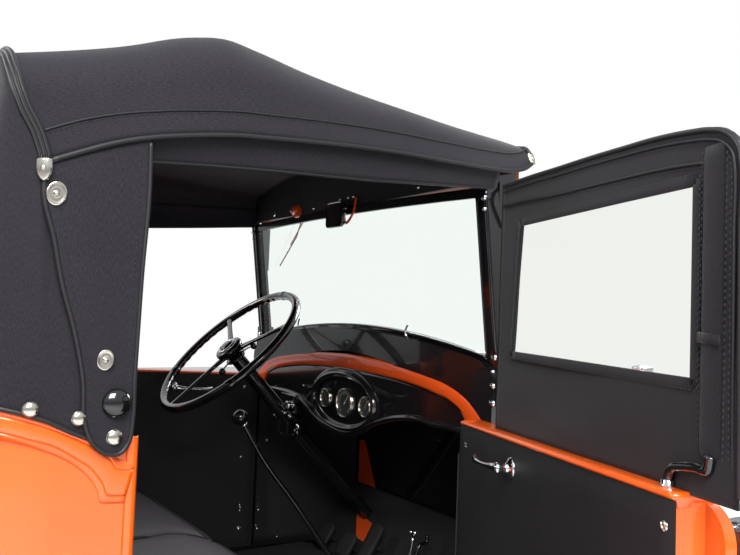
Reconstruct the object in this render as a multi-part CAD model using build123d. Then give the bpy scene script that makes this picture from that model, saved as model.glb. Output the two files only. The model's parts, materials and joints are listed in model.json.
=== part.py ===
from build123d import *
import math
import os

# An open two-seat pickup of the early 1930s, left-hand drive. Millimetres and degrees.
# Model axes: x forward from the door hinge pillar, y to the left of the centre plane, z up from the floor.
# At export everything moves so that the origin lies under the middle of the whole box.

# Wheels and axles
wheelbase = 2770
track = 1420
front_axle_x = 1090
tyre_radius = 362
tyre_width = 121
rim_radius = 241
rim_width = 92
rim_wall = 5
rim_flange = 9
hub_radius = 52
hub_cap_radius = 46
drum_radius = 158
drum_depth = 42
drum_wall = 6
spoke_pairs = 15
spoke_size = 7
spindle_radius = 17
kingpin_y = 618
kingpin_radius = 12
kingpin_height = 116
axle_eye_radius = 26
axle_eye_height = 62
running_clearance = 0.3
cut_reach = 3000
side_cut_y = 300
cut_low_z = 400
cut_top_z = 1400

# Ladder frame
frame_top = 560
frame_depth = 125
frame_flange = 48
frame_wall = 6
frame_front_half = 385
frame_rear_half = 468
frame_front_x = 1455
frame_rear_x = -2590
frame_taper_front_x = 560
frame_taper_rear_x = -520
frame_kick = 40
crossmember_width = 70
crossmember_thick = 14
crossmember_stations = (1305, 10, -560, -1220, -1940)

# Front axle, rear axle and their leaf springs
beam_depth = 56
beam_width = 44
spring_y = 350
spring_width = 46
spring_thick = 34
front_spring_half = 340
rear_spring_half = 520
front_spring_sag = 62
rear_spring_sag = 20
axle_tube_radius = 38
banjo_radius = 148
banjo_width = 190
rear_spring_y = 440

# Body sides
pillar_half_front = 538
pillar_half_rear = 626
rear_pillar_x = -741
body_floor_z = 560
belt_front_z = 1094.5
belt_rear_z = 1120
body_wall = 48
body_skin = 12
cab_back_x = -1012
cab_corner_radius = 150
back_edge_z = 1180
back_panel_half = 440
quarter_overlap = 40
quarter_cut_z = 500
quarter_knee_x = -816
quarter_bend_x = -864
quarter_bend_z = 1154
quarter_rise_x = -925
quarter_draw = 8

# Doors
door_front_x = -24
door_gap = 5
door_foot_z = 590
door_flange = 32
door_corner_radius = 40
hinge_from_foot = 90
hinge_from_belt = 110
hinge_plate_half = 18
hinge_x = -28
hinge_out = 16
hinge_pin_radius = 6
door_open = 61.2
board_thick = 4
board_inset = 26

# Cowl, windshield and dash
cowl_front_x = 330
cowl_skin = 8
cowl_front_half = 455
cowl_front_corner_z = 1110
cowl_front_mid_z = 1206
cowl_rear_x = -19
cowl_rear_corner_z = 1212
cowl_rear_mid_z = 1262
cowl_rear_round = 66
pillar_depth = 44
pillar_width = 50
cowl_front_round = 150
screen_x = 14
screen_half = 518
screen_side_z = 1202
screen_mid_z = 1256
screen_top_z = 1566
screen_rake = 7.3
screen_bar = 20
screen_thick = 18
glass_thick = 5
post_width = 20
post_depth = 30
post_foot_z = 1130
rail_half = 530
rail_end_z = 1103
rail_mid_z = 1197
rail_height = 38
rail_depth = 24
rail_x = -18
dash_low_z = 999
dash_thick = 6
gauge_z = 1073
gauge_radius = 40
small_gauge_radius = 25
gauge_spacing = 94
gauge_depth = 10

# Steering
wheel_hub_x = -216
wheel_hub_y = 281
wheel_hub_z = 1192
column_angle = 46.5
steering_rim_radius = 220
steering_rim_thick = 11
steering_hub_radius = 34
steering_hub_depth = 42
steering_spokes = (90, -30, -150)
column_radius = 20
column_length = 720

# Hood and radiator
shell_rear_x = 1130
shell_front_x = 1236
shell_half = 245
shell_corner_z = 1030
shell_mid_z = 1135
shell_round = 150
shell_foot_z = 530
shell_wall = 26
cap_inset = 46
cap_rise = 12
cap_radius = 32
hood_skin = 5
hood_foot_z = 674
hood_wide_x = 600
hood_panel_thick = 6
hood_gap = 6
hood_pin_radius = 6
grille_bars = 21
grille_bar_width = 5

# Engine block, at its real place
engine_rear_x = 430
engine_front_x = 1010
engine_half = 170
engine_low_z = 405
engine_high_z = 940
gearbox_half = 110
gearbox_rear_x = 60
gearbox_high_z = 548
shaft_front_z = 450
engine_arm_x = 590
engine_arm_half = 22
engine_arm_thick = 20

# Fenders and running boards
fender_radius = 450
fender_inner_y = 392
fender_crown_y = 700
fender_outer_y = 850
fender_inner_drop = 62
fender_outer_drop = 45
fender_lip = 16
fender_skin = 5
front_fender_start = -6
front_fender_cuts = (62, 118)
front_fender_turn = 150
board_top_z = 397
board_step_thick = 18
board_frame_gap = 52
rear_fender_start = 5
rear_fender_end = 192

# Load bed
bed_front_x = -1040
bed_length = 1650
bed_half = 600
bed_floor_z = 672
bed_floor_thick = 22
bed_side_z = 1002
bed_skin = 14
bed_rail_radius = 17
bed_sill_width = 60
bed_sill_shares = (0.06, 0.34, 0.66, 0.94)
stake_half = 28
stake_depth = 26
stake_shares = (0.04, 0.5, 0.96)
tailgate_thick = 22
tailgate_gap = 6
tailgate_pin_radius = 6
tailgate_pin_z = 661
tailgate_hinges = (-500, 0, 500)
tailgate_eye_radius = 11
tailgate_eye_width = 30

# Seat and toe board
floor_front_x = 170
toe_top_x = 300
toe_top_z = 760
seat_front_x = -412
seat_rear_x = -850
seat_top_z = 838
seat_low_z = 690
seat_side_gap = 9
seat_back_inset = 26
seat_back_top_z = 1140

# Soft top: station x, edge half width, edge z, shoulder z, shoulder radius
top_stations = (
    (62, 546, 1606, 1648, 36),
    (-290, 587, 1583, 1668, 62),
    (-612, 626, 1556, 1710, 84),
    (-885, 658, 1474, 1616, 84),
)
top_crown = 60
top_side_lean = 14
top_skin = 8
bow_width = 42
bow_depth = 24
main_bow_x = -612
main_bow_drop = 4
rear_bow_x = -862
iron_pivot_x = -800
iron_pivot_z = 1096
iron_radius = 7
iron_elbow = (-790, 566, 1490)
iron_foot_inset = 8
iron_foot_lift = 30
iron_plate_thick = 16
iron_plate_radius = 20
top_front_thick = 5
header_x = -36
header_half = 528
header_low_z = 1575.5
header_depth = 84
curtain_thick = 6
curtain_rear_top_z = 1640
rear_pane_half = 290
rear_pane_heights = (1290, 1450)
flap_out = 8
flap_thick = 6
flap_front_x = -750
flap_rear_x = -882
flap_outline = (
    (-753, 1150), (-760, 1126), (-778, 1110), (-803, 1125), (-820, 1206), (-836, 1268), (-868, 1385),
)
sheet_span = 400

# Door curtain: distance along the door and height of its edge and of its clear pane
curtain_inset = 25
curtain_foot_z = 1128
curtain_edge = (
    (128, curtain_foot_z), (128, 1524), (226, 1541), (700, 1514),
    (735, 1500), (746, 1470), (746, 1150), (736, 1130),
)
curtain_pane = ((190, 1252), (205, 1460), (664, 1456), (662, 1252))
curtain_rods = (140, 640)
curtain_rod_width = 10
curtain_rod_lap = 32

# Lamps, bumpers and small pieces
lamp_radius = 108
lamp_depth = 190
lamp_x = 1340
lamp_y = 385
lamp_z = 870
lamp_bar_radius = 14
lamp_bar_x = 1275
lamp_bar_drop = 205
bumper_front_x = 1590
bumper_rear_x = -2745
bumper_half = 760
bumper_z = 470
bumper_height = 48
bumper_thick = 12
mirror_width = 78
mirror_height = 66
mirror_thick = 10
mirror_place = (-60, 16, 1552)

rear_axle_x = front_axle_x - wheelbase
board_inner_y = frame_rear_half + board_frame_gap
wheel_y = track / 2
belt_slope = (belt_rear_z - belt_front_z) / rear_pillar_x
side_slope = (pillar_half_rear - pillar_half_front) / rear_pillar_x
side_angle = math.degrees(math.atan(-side_slope))
seat_half = pillar_half_front + side_slope * seat_front_x - body_wall - board_thick - seat_side_gap
seat_back_half = seat_half - seat_back_inset
bed_rear_x = bed_front_x - bed_length
frame_low = frame_top - frame_depth


def side_half(x):
    """Half width of the body side behind the hinge pillar."""
    return pillar_half_front + side_slope * x


def box(x0, x1, y0, y1, z0, z1):
    """A block from corner to corner."""
    size = (abs(x1 - x0), abs(y1 - y0), abs(z1 - z0))
    return Pos((x0 + x1) / 2, (y0 + y1) / 2, (z0 + z1) / 2) * Box(*size)


def rod(start, end, radius):
    """A round bar between two points."""
    a, b = Vector(*start), Vector(*end)
    length = (b - a).length
    return Plane(origin=a, z_dir=b - a) * Pos(0, 0, length / 2) * Cylinder(radius, length)


def plan(points, z0, z1):
    """A prism from an outline seen from above."""
    return Pos(0, 0, z0) * extrude(make_face(Polyline(*points, close=True)), z1 - z0)


def side_prism(outline, y0, y1):
    """A prism from an outline seen from the side, between two widths."""
    face = Plane(origin=(0, y1, 0), x_dir=(1, 0, 0), z_dir=(0, -1, 0)) * make_face(outline)
    return extrude(face, abs(y1 - y0))


def cross_plane(x):
    """A plane across the vehicle: its own x runs to the left and its own y runs up."""
    return Plane(origin=(x, 0, 0), x_dir=(0, 1, 0), z_dir=(1, 0, 0))


def flip(shape):
    """The same piece on the right-hand side."""
    return mirror(shape, about=Plane.XZ)


def arch(half, low_z, corner_z, mid_z, round_radius, lean=0):
    """An upright arch: sides, rounded shoulders tangent to both neighbours, and a crowned top."""
    top = half - lean
    sag = mid_z - corner_z
    big = (top ** 2 + sag ** 2) / (2 * sag)
    centre = Vector(0, mid_z - big)
    down = Vector(half - top, low_z - corner_z).normalized()
    inward = Vector(down.Y, -down.X)
    corner = Vector(top, corner_z) + inward * round_radius
    gap = corner - centre
    half_b = gap.dot(down)
    travel = -half_b - math.sqrt(half_b ** 2 - gap.dot(gap) + (big - round_radius) ** 2)
    if travel < 0:
        travel = -half_b + math.sqrt(half_b ** 2 - gap.dot(gap) + (big - round_radius) ** 2)
    hub = corner + down * travel
    side = hub - inward * round_radius
    crown = centre + (hub - centre).normalized() * big
    bend = hub + ((side - hub) + (crown - hub)).normalized() * round_radius
    points = [(half, low_z), (side.X, side.Y), (bend.X, bend.Y), (crown.X, crown.Y)]
    other = [(-x, y) for x, y in points]
    return make_face(Curve() + [
        Line(points[0], points[1]),
        ThreePointArc(points[1], points[2], points[3]),
        ThreePointArc(points[3], (0, mid_z), other[3]),
        ThreePointArc(other[3], other[2], other[1]),
        Line(other[1], other[0]),
        Line(other[0], points[0]),
    ])


def arch_loft(sections):
    """A straight loft through arches, each given with its station."""
    faces = [cross_plane(x) * face for x, face in sections]
    return loft(faces, ruled=True)


# Wheels

def tyre_solid():
    """Tyre turned about the axle line."""
    half = tyre_width / 2
    crown = 34
    shoulder = tyre_radius - 10
    bead = rim_width / 2 - rim_wall - running_clearance
    lip = rim_radius + rim_flange + 1
    outline = Curve() + [
        Line((rim_radius, -bead), (rim_radius, bead)),
        Line((rim_radius, bead), (lip, bead)),
        ThreePointArc((lip, bead), (rim_radius + 54, half), (shoulder, crown + 6)),
        Line((shoulder, crown + 6), (tyre_radius, crown - 8)),
        Line((tyre_radius, crown - 8), (tyre_radius, 8 - crown)),
        Line((tyre_radius, 8 - crown), (shoulder, -crown - 6)),
        ThreePointArc((shoulder, -crown - 6), (rim_radius + 54, -half), (lip, -bead)),
        Line((lip, -bead), (rim_radius, -bead)),
    ]
    return revolve(make_face(outline), Axis.Y)


def wheel_solid():
    """Welded wire wheel: drop-centre rim, hub with cap, brake drum and crossed spokes. Outside is +y."""
    edge = rim_width / 2
    well = rim_radius - 26
    seat = rim_radius - 0.2
    flange = rim_radius + rim_flange
    outline = Polyline(
        (seat, -edge + rim_wall), (flange, -edge + rim_wall), (flange, -edge), (seat - rim_wall, -edge),
        (well - rim_wall, -22), (well - rim_wall, 22), (seat - rim_wall, edge), (flange, edge),
        (flange, edge - rim_wall), (seat, edge - rim_wall), (well, 16), (well, -16), close=True,
    )
    rim = revolve(make_face(outline), Axis.Y)
    bore = spindle_radius + running_clearance
    hub = revolve(make_face(Polyline(
        (bore, -drum_wall - 8), (hub_radius, -drum_wall - 8), (hub_radius, -drum_wall),
        (drum_radius - drum_wall, -drum_wall), (drum_radius - drum_wall, -drum_depth),
        (drum_radius, -drum_depth), (drum_radius, 0), (hub_radius, 0), (hub_radius, 50),
        (hub_cap_radius, 54), (hub_cap_radius, 66),
        (22, 78), (0, 82), (0, 52), (bore, 52), close=True,
    )), Axis.Y)
    wheel = rim + hub
    spokes = []
    for number in range(spoke_pairs * 2):
        outward = number % 2 == 0
        turn = number * 180 / spoke_pairs
        lead = 26 if outward else -26
        start = Vector(hub_radius - 6, 42 if outward else 9, 0).rotate(Axis.Y, turn)
        end = Vector(well - rim_wall + 3, 8 if outward else 5, 0).rotate(Axis.Y, turn + lead)
        run = end - start
        bar = Pos(0, 0, run.length / 2) * Box(spoke_size, spoke_size, run.length)
        spokes.append(Plane(origin=start, z_dir=run) * bar)
    return wheel + spokes


def place_wheels(parts):
    """All four wheels and tyres, outside faces outward."""
    tyre = tyre_solid()
    wheel = wheel_solid()
    for end, x in (("front", front_axle_x), ("rear", rear_axle_x)):
        for side, sign in (("left", 1), ("right", -1)):
            spot = Pos(x, sign * wheel_y, tyre_radius)
            parts["tyre_" + end + "_" + side] = spot * tyre
            parts["wheel_" + end + "_" + side] = spot * (wheel if sign > 0 else flip(wheel))


# Chassis

def frame_half_width(x):
    """Outside of a frame rail."""
    if x >= frame_taper_front_x:
        return frame_front_half
    if x <= frame_taper_rear_x:
        return frame_rear_half
    share = (frame_taper_front_x - x) / (frame_taper_front_x - frame_taper_rear_x)
    return frame_front_half + share * (frame_rear_half - frame_front_half)


def rail_plan(inset, width, z0, z1):
    """Strip of a rail seen from above, inset from its outside."""
    stations = (frame_front_x, frame_taper_front_x, frame_taper_rear_x, frame_rear_x)
    outer = [(x, frame_half_width(x) - inset) for x in stations]
    inner = [(x, y - width) for x, y in reversed(outer)]
    return plan(outer + inner, z0, z1)


def rail_low_line():
    """Lower edge of a rail from front to rear: it rises over both axles."""
    front, rear = front_axle_x, rear_axle_x
    kick = frame_low + frame_kick
    return [
        (frame_front_x, frame_low - 10), (front + 120, kick), (front - 280, kick), (front - 420, frame_low),
        (rear + 560, frame_low), (rear + 420, kick), (frame_rear_x, kick),
    ]


def rail_low(x):
    """Height of a rail's lower edge at a station."""
    line = rail_low_line()
    for (x0, z0), (x1, z1) in zip(line, line[1:]):
        if x1 <= x <= x0:
            return z0 + (z1 - z0) * (x0 - x) / (x0 - x1)
    return frame_low + frame_kick


def rail_profile(inset):
    """Side outline of a rail."""
    low = [(x, z + inset) for x, z in rail_low_line()]
    high = frame_top - inset
    top = [(frame_rear_x, high), (front_axle_x + 200, high), (frame_front_x, high - 50)]
    return Polyline(*low, *top, close=True)


def frame_solids():
    """Two channel rails, and the cross members between them."""
    top, low = frame_top + 20, frame_low - 40
    outer = rail_plan(0, frame_flange, low, top) & side_prism(rail_profile(0), 0, 600)
    channel = rail_plan(frame_wall, frame_flange, low, top) & side_prism(rail_profile(frame_wall), 0, 600)
    left = outer - channel
    solids = [left, flip(left)]
    half_member = crossmember_width / 2
    high = frame_top - frame_wall - running_clearance
    for x in crossmember_stations + (frame_rear_x + half_member,):
        half = frame_half_width(x + half_member) - frame_wall - running_clearance
        solids.append(box(x - half_member, x + half_member, -half, half, high - crossmember_thick, high))
    return solids


def leaf_spring(half_length, sag, y, axle_x, seat_z):
    """A bowed pack of leaves with an eye at each end and a shackle up to the rail."""
    eye_z = seat_z + sag
    low = ThreePointArc((axle_x - half_length, eye_z), (axle_x, seat_z), (axle_x + half_length, eye_z))
    short = half_length * 0.45
    pack = Curve() + [
        low,
        Line(low @ 1, (axle_x + half_length, eye_z + 9)),
        Line((axle_x + half_length, eye_z + 9), (axle_x + short, seat_z + spring_thick)),
        Line((axle_x + short, seat_z + spring_thick), (axle_x - short, seat_z + spring_thick)),
        Line((axle_x - short, seat_z + spring_thick), (axle_x - half_length, eye_z + 9)),
        Line((axle_x - half_length, eye_z + 9), low @ 0),
    ]
    spring = side_prism(pack, y - spring_width / 2, y + spring_width / 2)
    for sign in (1, -1):
        eye = (axle_x + sign * half_length, eye_z + 4)
        spring += rod((eye[0], y - spring_width / 2, eye[1]), (eye[0], y + spring_width / 2, eye[1]), 18)
        hanger = min(rail_low(eye[0] - 10), rail_low(eye[0] + 10)) - running_clearance
        if hanger > eye[1] + 18:
            spring += box(eye[0] - 10, eye[0] + 10, y - 6, y + 6, eye[1], hanger)
    return spring


def front_axle_solid():
    """Dropped I-beam with an eye for each kingpin, on two springs."""
    height = tyre_radius
    drop = 46
    seat = height - drop
    outline = Polyline(
        (-kingpin_y + 20, height - 26), (-kingpin_y + 20, height + 26), (-520, height + 22),
        (-440, seat + beam_depth / 2), (440, seat + beam_depth / 2), (520, height + 22),
        (kingpin_y - 20, height + 26), (kingpin_y - 20, height - 26), (520, height - 26),
        (440, seat - beam_depth / 2), (-440, seat - beam_depth / 2), (-520, height - 26), close=True,
    )
    beam = cross_plane(front_axle_x - beam_width / 2) * extrude(make_face(outline), beam_width)
    web = 9
    for sign in (1, -1):
        x0 = front_axle_x + sign * web
        groove = box(x0, front_axle_x + sign * beam_width, -425, 425, seat - 17, seat + 17)
        beam -= groove
    for sign in (1, -1):
        y = sign * kingpin_y
        beam += Pos(front_axle_x, y, height) * Cylinder(axle_eye_radius, axle_eye_height)
        bore = kingpin_radius + running_clearance
        beam -= Pos(front_axle_x, y, height) * Cylinder(bore, axle_eye_height + 4)
        rest = seat + beam_depth / 2 - 1
        beam += leaf_spring(front_spring_half, front_spring_sag, sign * spring_y, front_axle_x, rest)
    return beam


def knuckle_solid():
    """Left steering knuckle: kingpin, fork, spindle, backing plate and steering arm."""
    x, y, z = front_axle_x, kingpin_y, tyre_radius
    ear = 15
    half = axle_eye_height / 2 + 1
    outer_plate = wheel_y - drum_depth - 3
    body = Pos(x, y, z) * Cylinder(kingpin_radius, kingpin_height)
    for sign in (1, -1):
        lug = Pos(x, y, z + sign * (half + ear / 2)) * Cylinder(24, ear)
        arm = box(x - 22, x + 22, y, outer_plate, z + sign * half, z + sign * (half + ear))
        body += [lug, arm]
    body += box(x - 22, x + 22, y + axle_eye_radius + 2, outer_plate, z - half - ear, z + half + ear)
    body += rod((x, outer_plate - 6, z), (x, outer_plate, z), drum_radius - 4)
    body += rod((x, outer_plate - 8, z), (x, wheel_y + 44, z), spindle_radius)
    body += box(x - 150, x - 10, y - 12, y + 12, z - half - ear, z - half - 1)
    return body


def rear_axle_solid():
    """Banjo housing, tubes, backing plates, stub ends, springs and the tube round the drive shaft."""
    x, z = rear_axle_x, tyre_radius
    plate = wheel_y - drum_depth - 3
    axle = rod((x, -plate, z), (x, plate, z), axle_tube_radius)
    bulge = ThreePointArc((axle_tube_radius, -banjo_width / 2 - 40), (banjo_radius, 0),
                          (axle_tube_radius, banjo_width / 2 + 40))
    rim = Curve() + [bulge, Line(bulge @ 1, (0, banjo_width / 2 + 40)),
                     Line((0, banjo_width / 2 + 40), (0, -banjo_width / 2 - 40)),
                     Line((0, -banjo_width / 2 - 40), bulge @ 0)]
    axle += Pos(x, 0, z) * revolve(make_face(rim), Axis.Y)
    axle += rod((x + 60, 0, z), (x + 200, 0, z + 8), 62)
    axle += rod((x + 150, 0, z + 5), (gearbox_rear_x - running_clearance - 4, 0, shaft_front_z), 36)
    for sign in (1, -1):
        axle += rod((x, sign * (plate - 6), z), (x, sign * plate, z), drum_radius - 4)
        axle += rod((x, sign * (plate - 4), z), (x, sign * (wheel_y + 44), z), spindle_radius)
        rest = z + axle_tube_radius - 3
        axle += leaf_spring(rear_spring_half, rear_spring_sag, sign * rear_spring_y, x, rest)
    return axle


def engine_solid():
    """Engine and gearbox as plain blocks, with arms on the frame rails."""
    half, narrow, low = engine_half, gearbox_half, engine_low_z
    engine = box(engine_rear_x, engine_front_x, -half, half, low, engine_high_z)
    engine += box(gearbox_rear_x, engine_rear_x + 1, -narrow, narrow, low, gearbox_high_z)
    reach = frame_half_width(engine_arm_x) - hood_panel_thick - 4
    x0, x1 = engine_arm_x - engine_arm_half, engine_arm_x + engine_arm_half
    engine += box(x0, x1, -reach, reach, frame_top + running_clearance, frame_top + engine_arm_thick)
    return engine


# Body

def cowl_section(x, half, low, corner, mid, rnd, inset):
    """One station of the cowl or hood, inset by the skin."""
    return x, arch(half - inset, low, corner - inset, mid - inset, rnd - inset)


def cowl_skin_loft(inset, low):
    """Solid inside the cowl surface, inset by a skin."""
    rear = (side_half(cowl_rear_x) - 0.5, low, cowl_rear_corner_z, cowl_rear_mid_z, cowl_rear_round)
    front = (cowl_front_half, low, cowl_front_corner_z, cowl_front_mid_z, cowl_front_round)
    return arch_loft([
        cowl_section(cowl_rear_x, *rear, inset),
        cowl_section(cowl_front_x, *front, inset),
    ])


def cowl_solid():
    """Cowl skin, firewall, hinge pillars and the mouth that takes the dash rail and panel."""
    outer = cowl_skin_loft(0, body_floor_z)
    shell = outer - cowl_skin_loft(cowl_skin, body_floor_z - 30)
    firewall = outer & box(cowl_front_x - 10, cowl_front_x + 1, -600, 600, body_floor_z + 40, 1300)
    pillar_x = cowl_rear_x + pillar_depth
    pillars = outer & box(cowl_rear_x - 1, pillar_x, -700, 700, body_floor_z, 1300)
    gate = arch(side_half(0) - pillar_width, body_floor_z - 10, rail_end_z - 12, rail_mid_z + 8, 60)
    pillars -= cross_plane(cowl_rear_x - 2) * extrude(gate, pillar_depth + 10)
    cowl = shell + firewall + pillars
    cowl -= dash_rail_solid(0.4)
    cowl -= dash_panel_solid(0.6)
    return cowl


def quarter_top_outline(lift):
    """Side outline under the top edge of the body behind the doors: it sweeps up to the back."""
    start, knee, end, back = rear_pillar_x + 1, quarter_knee_x, quarter_rise_x, cab_back_x - 5
    z0, z1, z2, low = belt_rear_z + 6, belt_rear_z + 12, back_edge_z, quarter_cut_z
    return Curve() + [
        Line((start, low), (start, z0 + lift)),
        Line((start, z0 + lift), (knee, z1 + lift)),
        ThreePointArc((knee, z1 + lift), (quarter_bend_x, quarter_bend_z + lift), (end, z2 - 6 + lift)),
        Line((end, z2 - 6 + lift), (back, z2 + lift)),
        Line((back, z2 + lift), (back, low)),
        Line((back, low), (start, low)),
    ]


def quarter_half(x):
    """Half width of the body behind the doors, drawn in a little toward the back."""
    front = rear_pillar_x + quarter_overlap
    share = (front - x) / (front - cab_back_x)
    return side_half(x) - share * quarter_draw


def rear_body_block(inset, z0, height):
    """Body behind the doors as a block seen from above, with rounded rear corners."""
    front = rear_pillar_x + quarter_overlap
    back = cab_back_x + inset
    wide, half = quarter_half(front) - inset, quarter_half(cab_back_x) - inset
    block = plan([(front, -wide), (back, -half), (back, half), (front, wide)], z0, z0 + height)
    corners = block.edges().filter_by(Axis.Z).sort_by(Axis.X)[:2]
    return fillet(corners, cab_corner_radius - inset)


def rear_body_solids():
    """Left and right quarters with their latch pillars, and the back panel between them."""
    block = rear_body_block(0, body_floor_z, 700)
    hollow = rear_body_block(body_wall, body_floor_z - 5, 720)
    wall = block - hollow
    wall = wall & side_prism(quarter_top_outline(0), -cut_reach, cut_reach)
    seam = back_panel_half
    left = wall & box(cab_back_x - 20, 0, seam, cut_reach, 0, cut_reach)
    right = wall & box(cab_back_x - 20, 0, -cut_reach, -seam, 0, cut_reach)
    back = wall & box(cab_back_x - 20, 0, -seam, seam, 0, cut_reach)
    return left, right, back


def belt_prism(drop):
    """Everything at the body's left side up to a drop below the belt line."""
    line = [(x, belt_front_z + belt_slope * x - drop) for x in (20, cab_back_x)]
    outline = Polyline(*line, (cab_back_x, cut_low_z), (20, cut_low_z), close=True)
    return side_prism(outline, side_cut_y, cut_reach)


def door_corner_outline():
    """What the rounding takes off the door's rear top corner, seen from the side."""
    x, radius = rear_pillar_x + door_gap, door_corner_radius
    top = belt_front_z + belt_slope * x
    slack = radius * (1 - math.sqrt(0.5))
    over, out = top + 12, x - 4
    return Curve() + [
        ThreePointArc((x + radius, top), (x + slack, top - slack), (x, top - radius)),
        Line((x, top - radius), (out, top - radius)),
        Line((out, top - radius), (out, over)),
        Line((out, over), (x + radius, over)),
        Line((x + radius, over), (x + radius, top)),
    ]


def door_solid():
    """Left door shut: a thick leaf whose outer skin laps past its inner part at the latch side."""
    front, rear = door_front_x, rear_pillar_x + door_gap
    tail = rear + door_flange

    def strip(end, out, depth, foot):
        ends = (front, end)
        outer = [(x, side_half(x) - out) for x in ends]
        inner = [(x, side_half(x) - depth) for x in reversed(ends)]
        return plan(outer + inner, foot, cut_top_z)

    skin = strip(rear, 0, body_skin, door_foot_z - 14)
    core = strip(tail, 1, body_wall, door_foot_z)
    leaf = (skin + core) & belt_prism(0)
    leaf -= side_prism(door_corner_outline(), side_cut_y, cut_reach)
    y, half = side_half(hinge_x), hinge_plate_half
    for z in (door_foot_z + hinge_from_foot, belt_front_z - hinge_from_belt):
        leaf += box(hinge_x - 60, hinge_x - hinge_pin_radius, y - 2, y + 8, z - half, z + half)
        leaf += Pos(hinge_x, y + hinge_out, z) * Cylinder(hinge_pin_radius + 5, 2 * half)
        leaf += box(hinge_x - 16, hinge_x - 4, y + 2, y + hinge_out, z - half, z + half)
        leaf -= Pos(hinge_x, y + hinge_out, z) * Cylinder(hinge_pin_radius + running_clearance, 60)
    return leaf


def hinge_brackets():
    """Hinge pins and leaves on the left pillar, above and below each door leaf."""
    solids = []
    y = side_half(hinge_x)
    for z in (door_foot_z + hinge_from_foot, belt_front_z - hinge_from_belt):
        pin = Pos(hinge_x, y + hinge_out, z) * Cylinder(hinge_pin_radius, 76)
        for sign in (1, -1):
            ear_z = z + sign * 28
            pin += Pos(hinge_x, y + hinge_out, ear_z) * Cylinder(hinge_pin_radius + 5, 18)
            pin += box(hinge_x, cowl_rear_x + 30, y + 3, y + hinge_out + 4, ear_z - 9, ear_z + 9)
            pin += box(cowl_rear_x + 1, cowl_rear_x + 30, y - 8, y + 8, ear_z - 9, ear_z + 9)
        solids.append(pin)
    return solids


def door_board_solid():
    """Trim board on the inner face of the left door, with its handle plates."""
    front, rear = door_front_x - 24, rear_pillar_x + door_gap + door_flange + 6
    inner = [(front, side_half(front) - body_wall - 0.2), (rear, side_half(rear) - body_wall - 0.2)]
    back = [(x, y - board_thick) for x, y in reversed(inner)]
    board = plan(inner + back, door_foot_z + 14, cut_top_z) & belt_prism(board_inset)
    grip_x, grip_z = -160, 1062
    y = side_half(grip_x) - body_wall - board_thick
    board += rod((grip_x, y + 2, grip_z), (grip_x, y - 16, grip_z), 14)
    board += rod((grip_x, y - 16, grip_z), (grip_x + 74, y - 18, grip_z + 2), 6)
    return board


def open_right(shape):
    """A left-hand piece mirrored to the right and swung open on its hinge."""
    axis = Axis((hinge_x, -(side_half(hinge_x) + hinge_out), 0), (0, 0, 1))
    return flip(shape).rotate(axis, door_open)


# Windshield and dash

def screen_plane():
    """Plane of the windshield: its own x runs left, its own y up along the rake."""
    lean = math.radians(screen_rake)
    normal = (math.cos(lean), 0, math.sin(lean))
    return Plane(origin=(screen_x, 0, screen_side_z), x_dir=(0, 1, 0), z_dir=normal)


def screen_outline(inset):
    """Arched foot, straight sides and a faintly crowned head."""
    half = screen_half - inset
    rise = screen_mid_z - screen_side_z
    head = (screen_top_z - screen_side_z) / math.cos(math.radians(screen_rake)) - inset
    return make_face(Curve() + [
        ThreePointArc((-half, inset), (0, rise + inset), (half, inset)),
        Line((half, inset), (half, head)),
        ThreePointArc((half, head), (0, head + 8), (-half, head)),
        Line((-half, head), (-half, inset)),
    ])


def windshield_solids():
    """Frame of the windshield with its side posts, and the pane."""
    plane = screen_plane()
    ring = screen_outline(0) - screen_outline(screen_bar)
    frame = plane * Pos(0, 0, -screen_thick / 2) * extrude(ring, screen_thick)
    pane = plane * Pos(0, 0, -glass_thick / 2) * extrude(screen_outline(screen_bar + 0.2), glass_thick)
    lean = math.tan(math.radians(screen_rake))
    for sign in (1, -1):
        y0 = screen_half - 1
        foot = box(screen_x - 20, screen_x + 20, y0, y0 + post_width + 10, post_foot_z, screen_side_z + 46)
        outline = Polyline(
            (screen_x + post_depth / 2, screen_side_z),
            (screen_x + post_depth / 2 - lean * (screen_top_z - screen_side_z), screen_top_z),
            (screen_x - post_depth / 2 - lean * (screen_top_z - screen_side_z), screen_top_z),
            (screen_x - post_depth / 2, screen_side_z), close=True)
        post = side_prism(outline, y0, y0 + post_width) + foot
        frame += post if sign > 0 else flip(post)
    frame -= cowl_skin_loft(-0.3, body_floor_z)
    return frame, pane


def rail_curve(shift, half):
    """Arched line of the dash rail, from left to right, lowered by a shift."""
    span = rail_mid_z - rail_end_z
    knee, elbow = half * 0.565, half * 0.8286
    knee_z = rail_end_z + 0.7734 * span - shift
    elbow_z = rail_end_z + 0.3866 * span - shift
    end = rail_end_z - shift
    return [
        ThreePointArc((half, end), (elbow, elbow_z), (knee, knee_z)),
        ThreePointArc((knee, knee_z), (0, rail_mid_z - shift), (-knee, knee_z)),
        ThreePointArc((-knee, knee_z), (-elbow, elbow_z), (-half, end)),
    ]


def dash_rail_solid(grow=0):
    """Arched garnish rail across the cab under the windshield."""
    high, low = rail_half + grow, rail_half - 20 + grow
    drop = rail_height + grow
    outline = Curve() + rail_curve(-grow, high) + rail_curve(drop, low)
    outline += [Line((high, rail_end_z + grow), (low, rail_end_z - drop)),
                Line((-high, rail_end_z + grow), (-low, rail_end_z - drop))]
    return cross_plane(rail_x - grow) * extrude(make_face(outline), rail_depth + 2 * grow)


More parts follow.
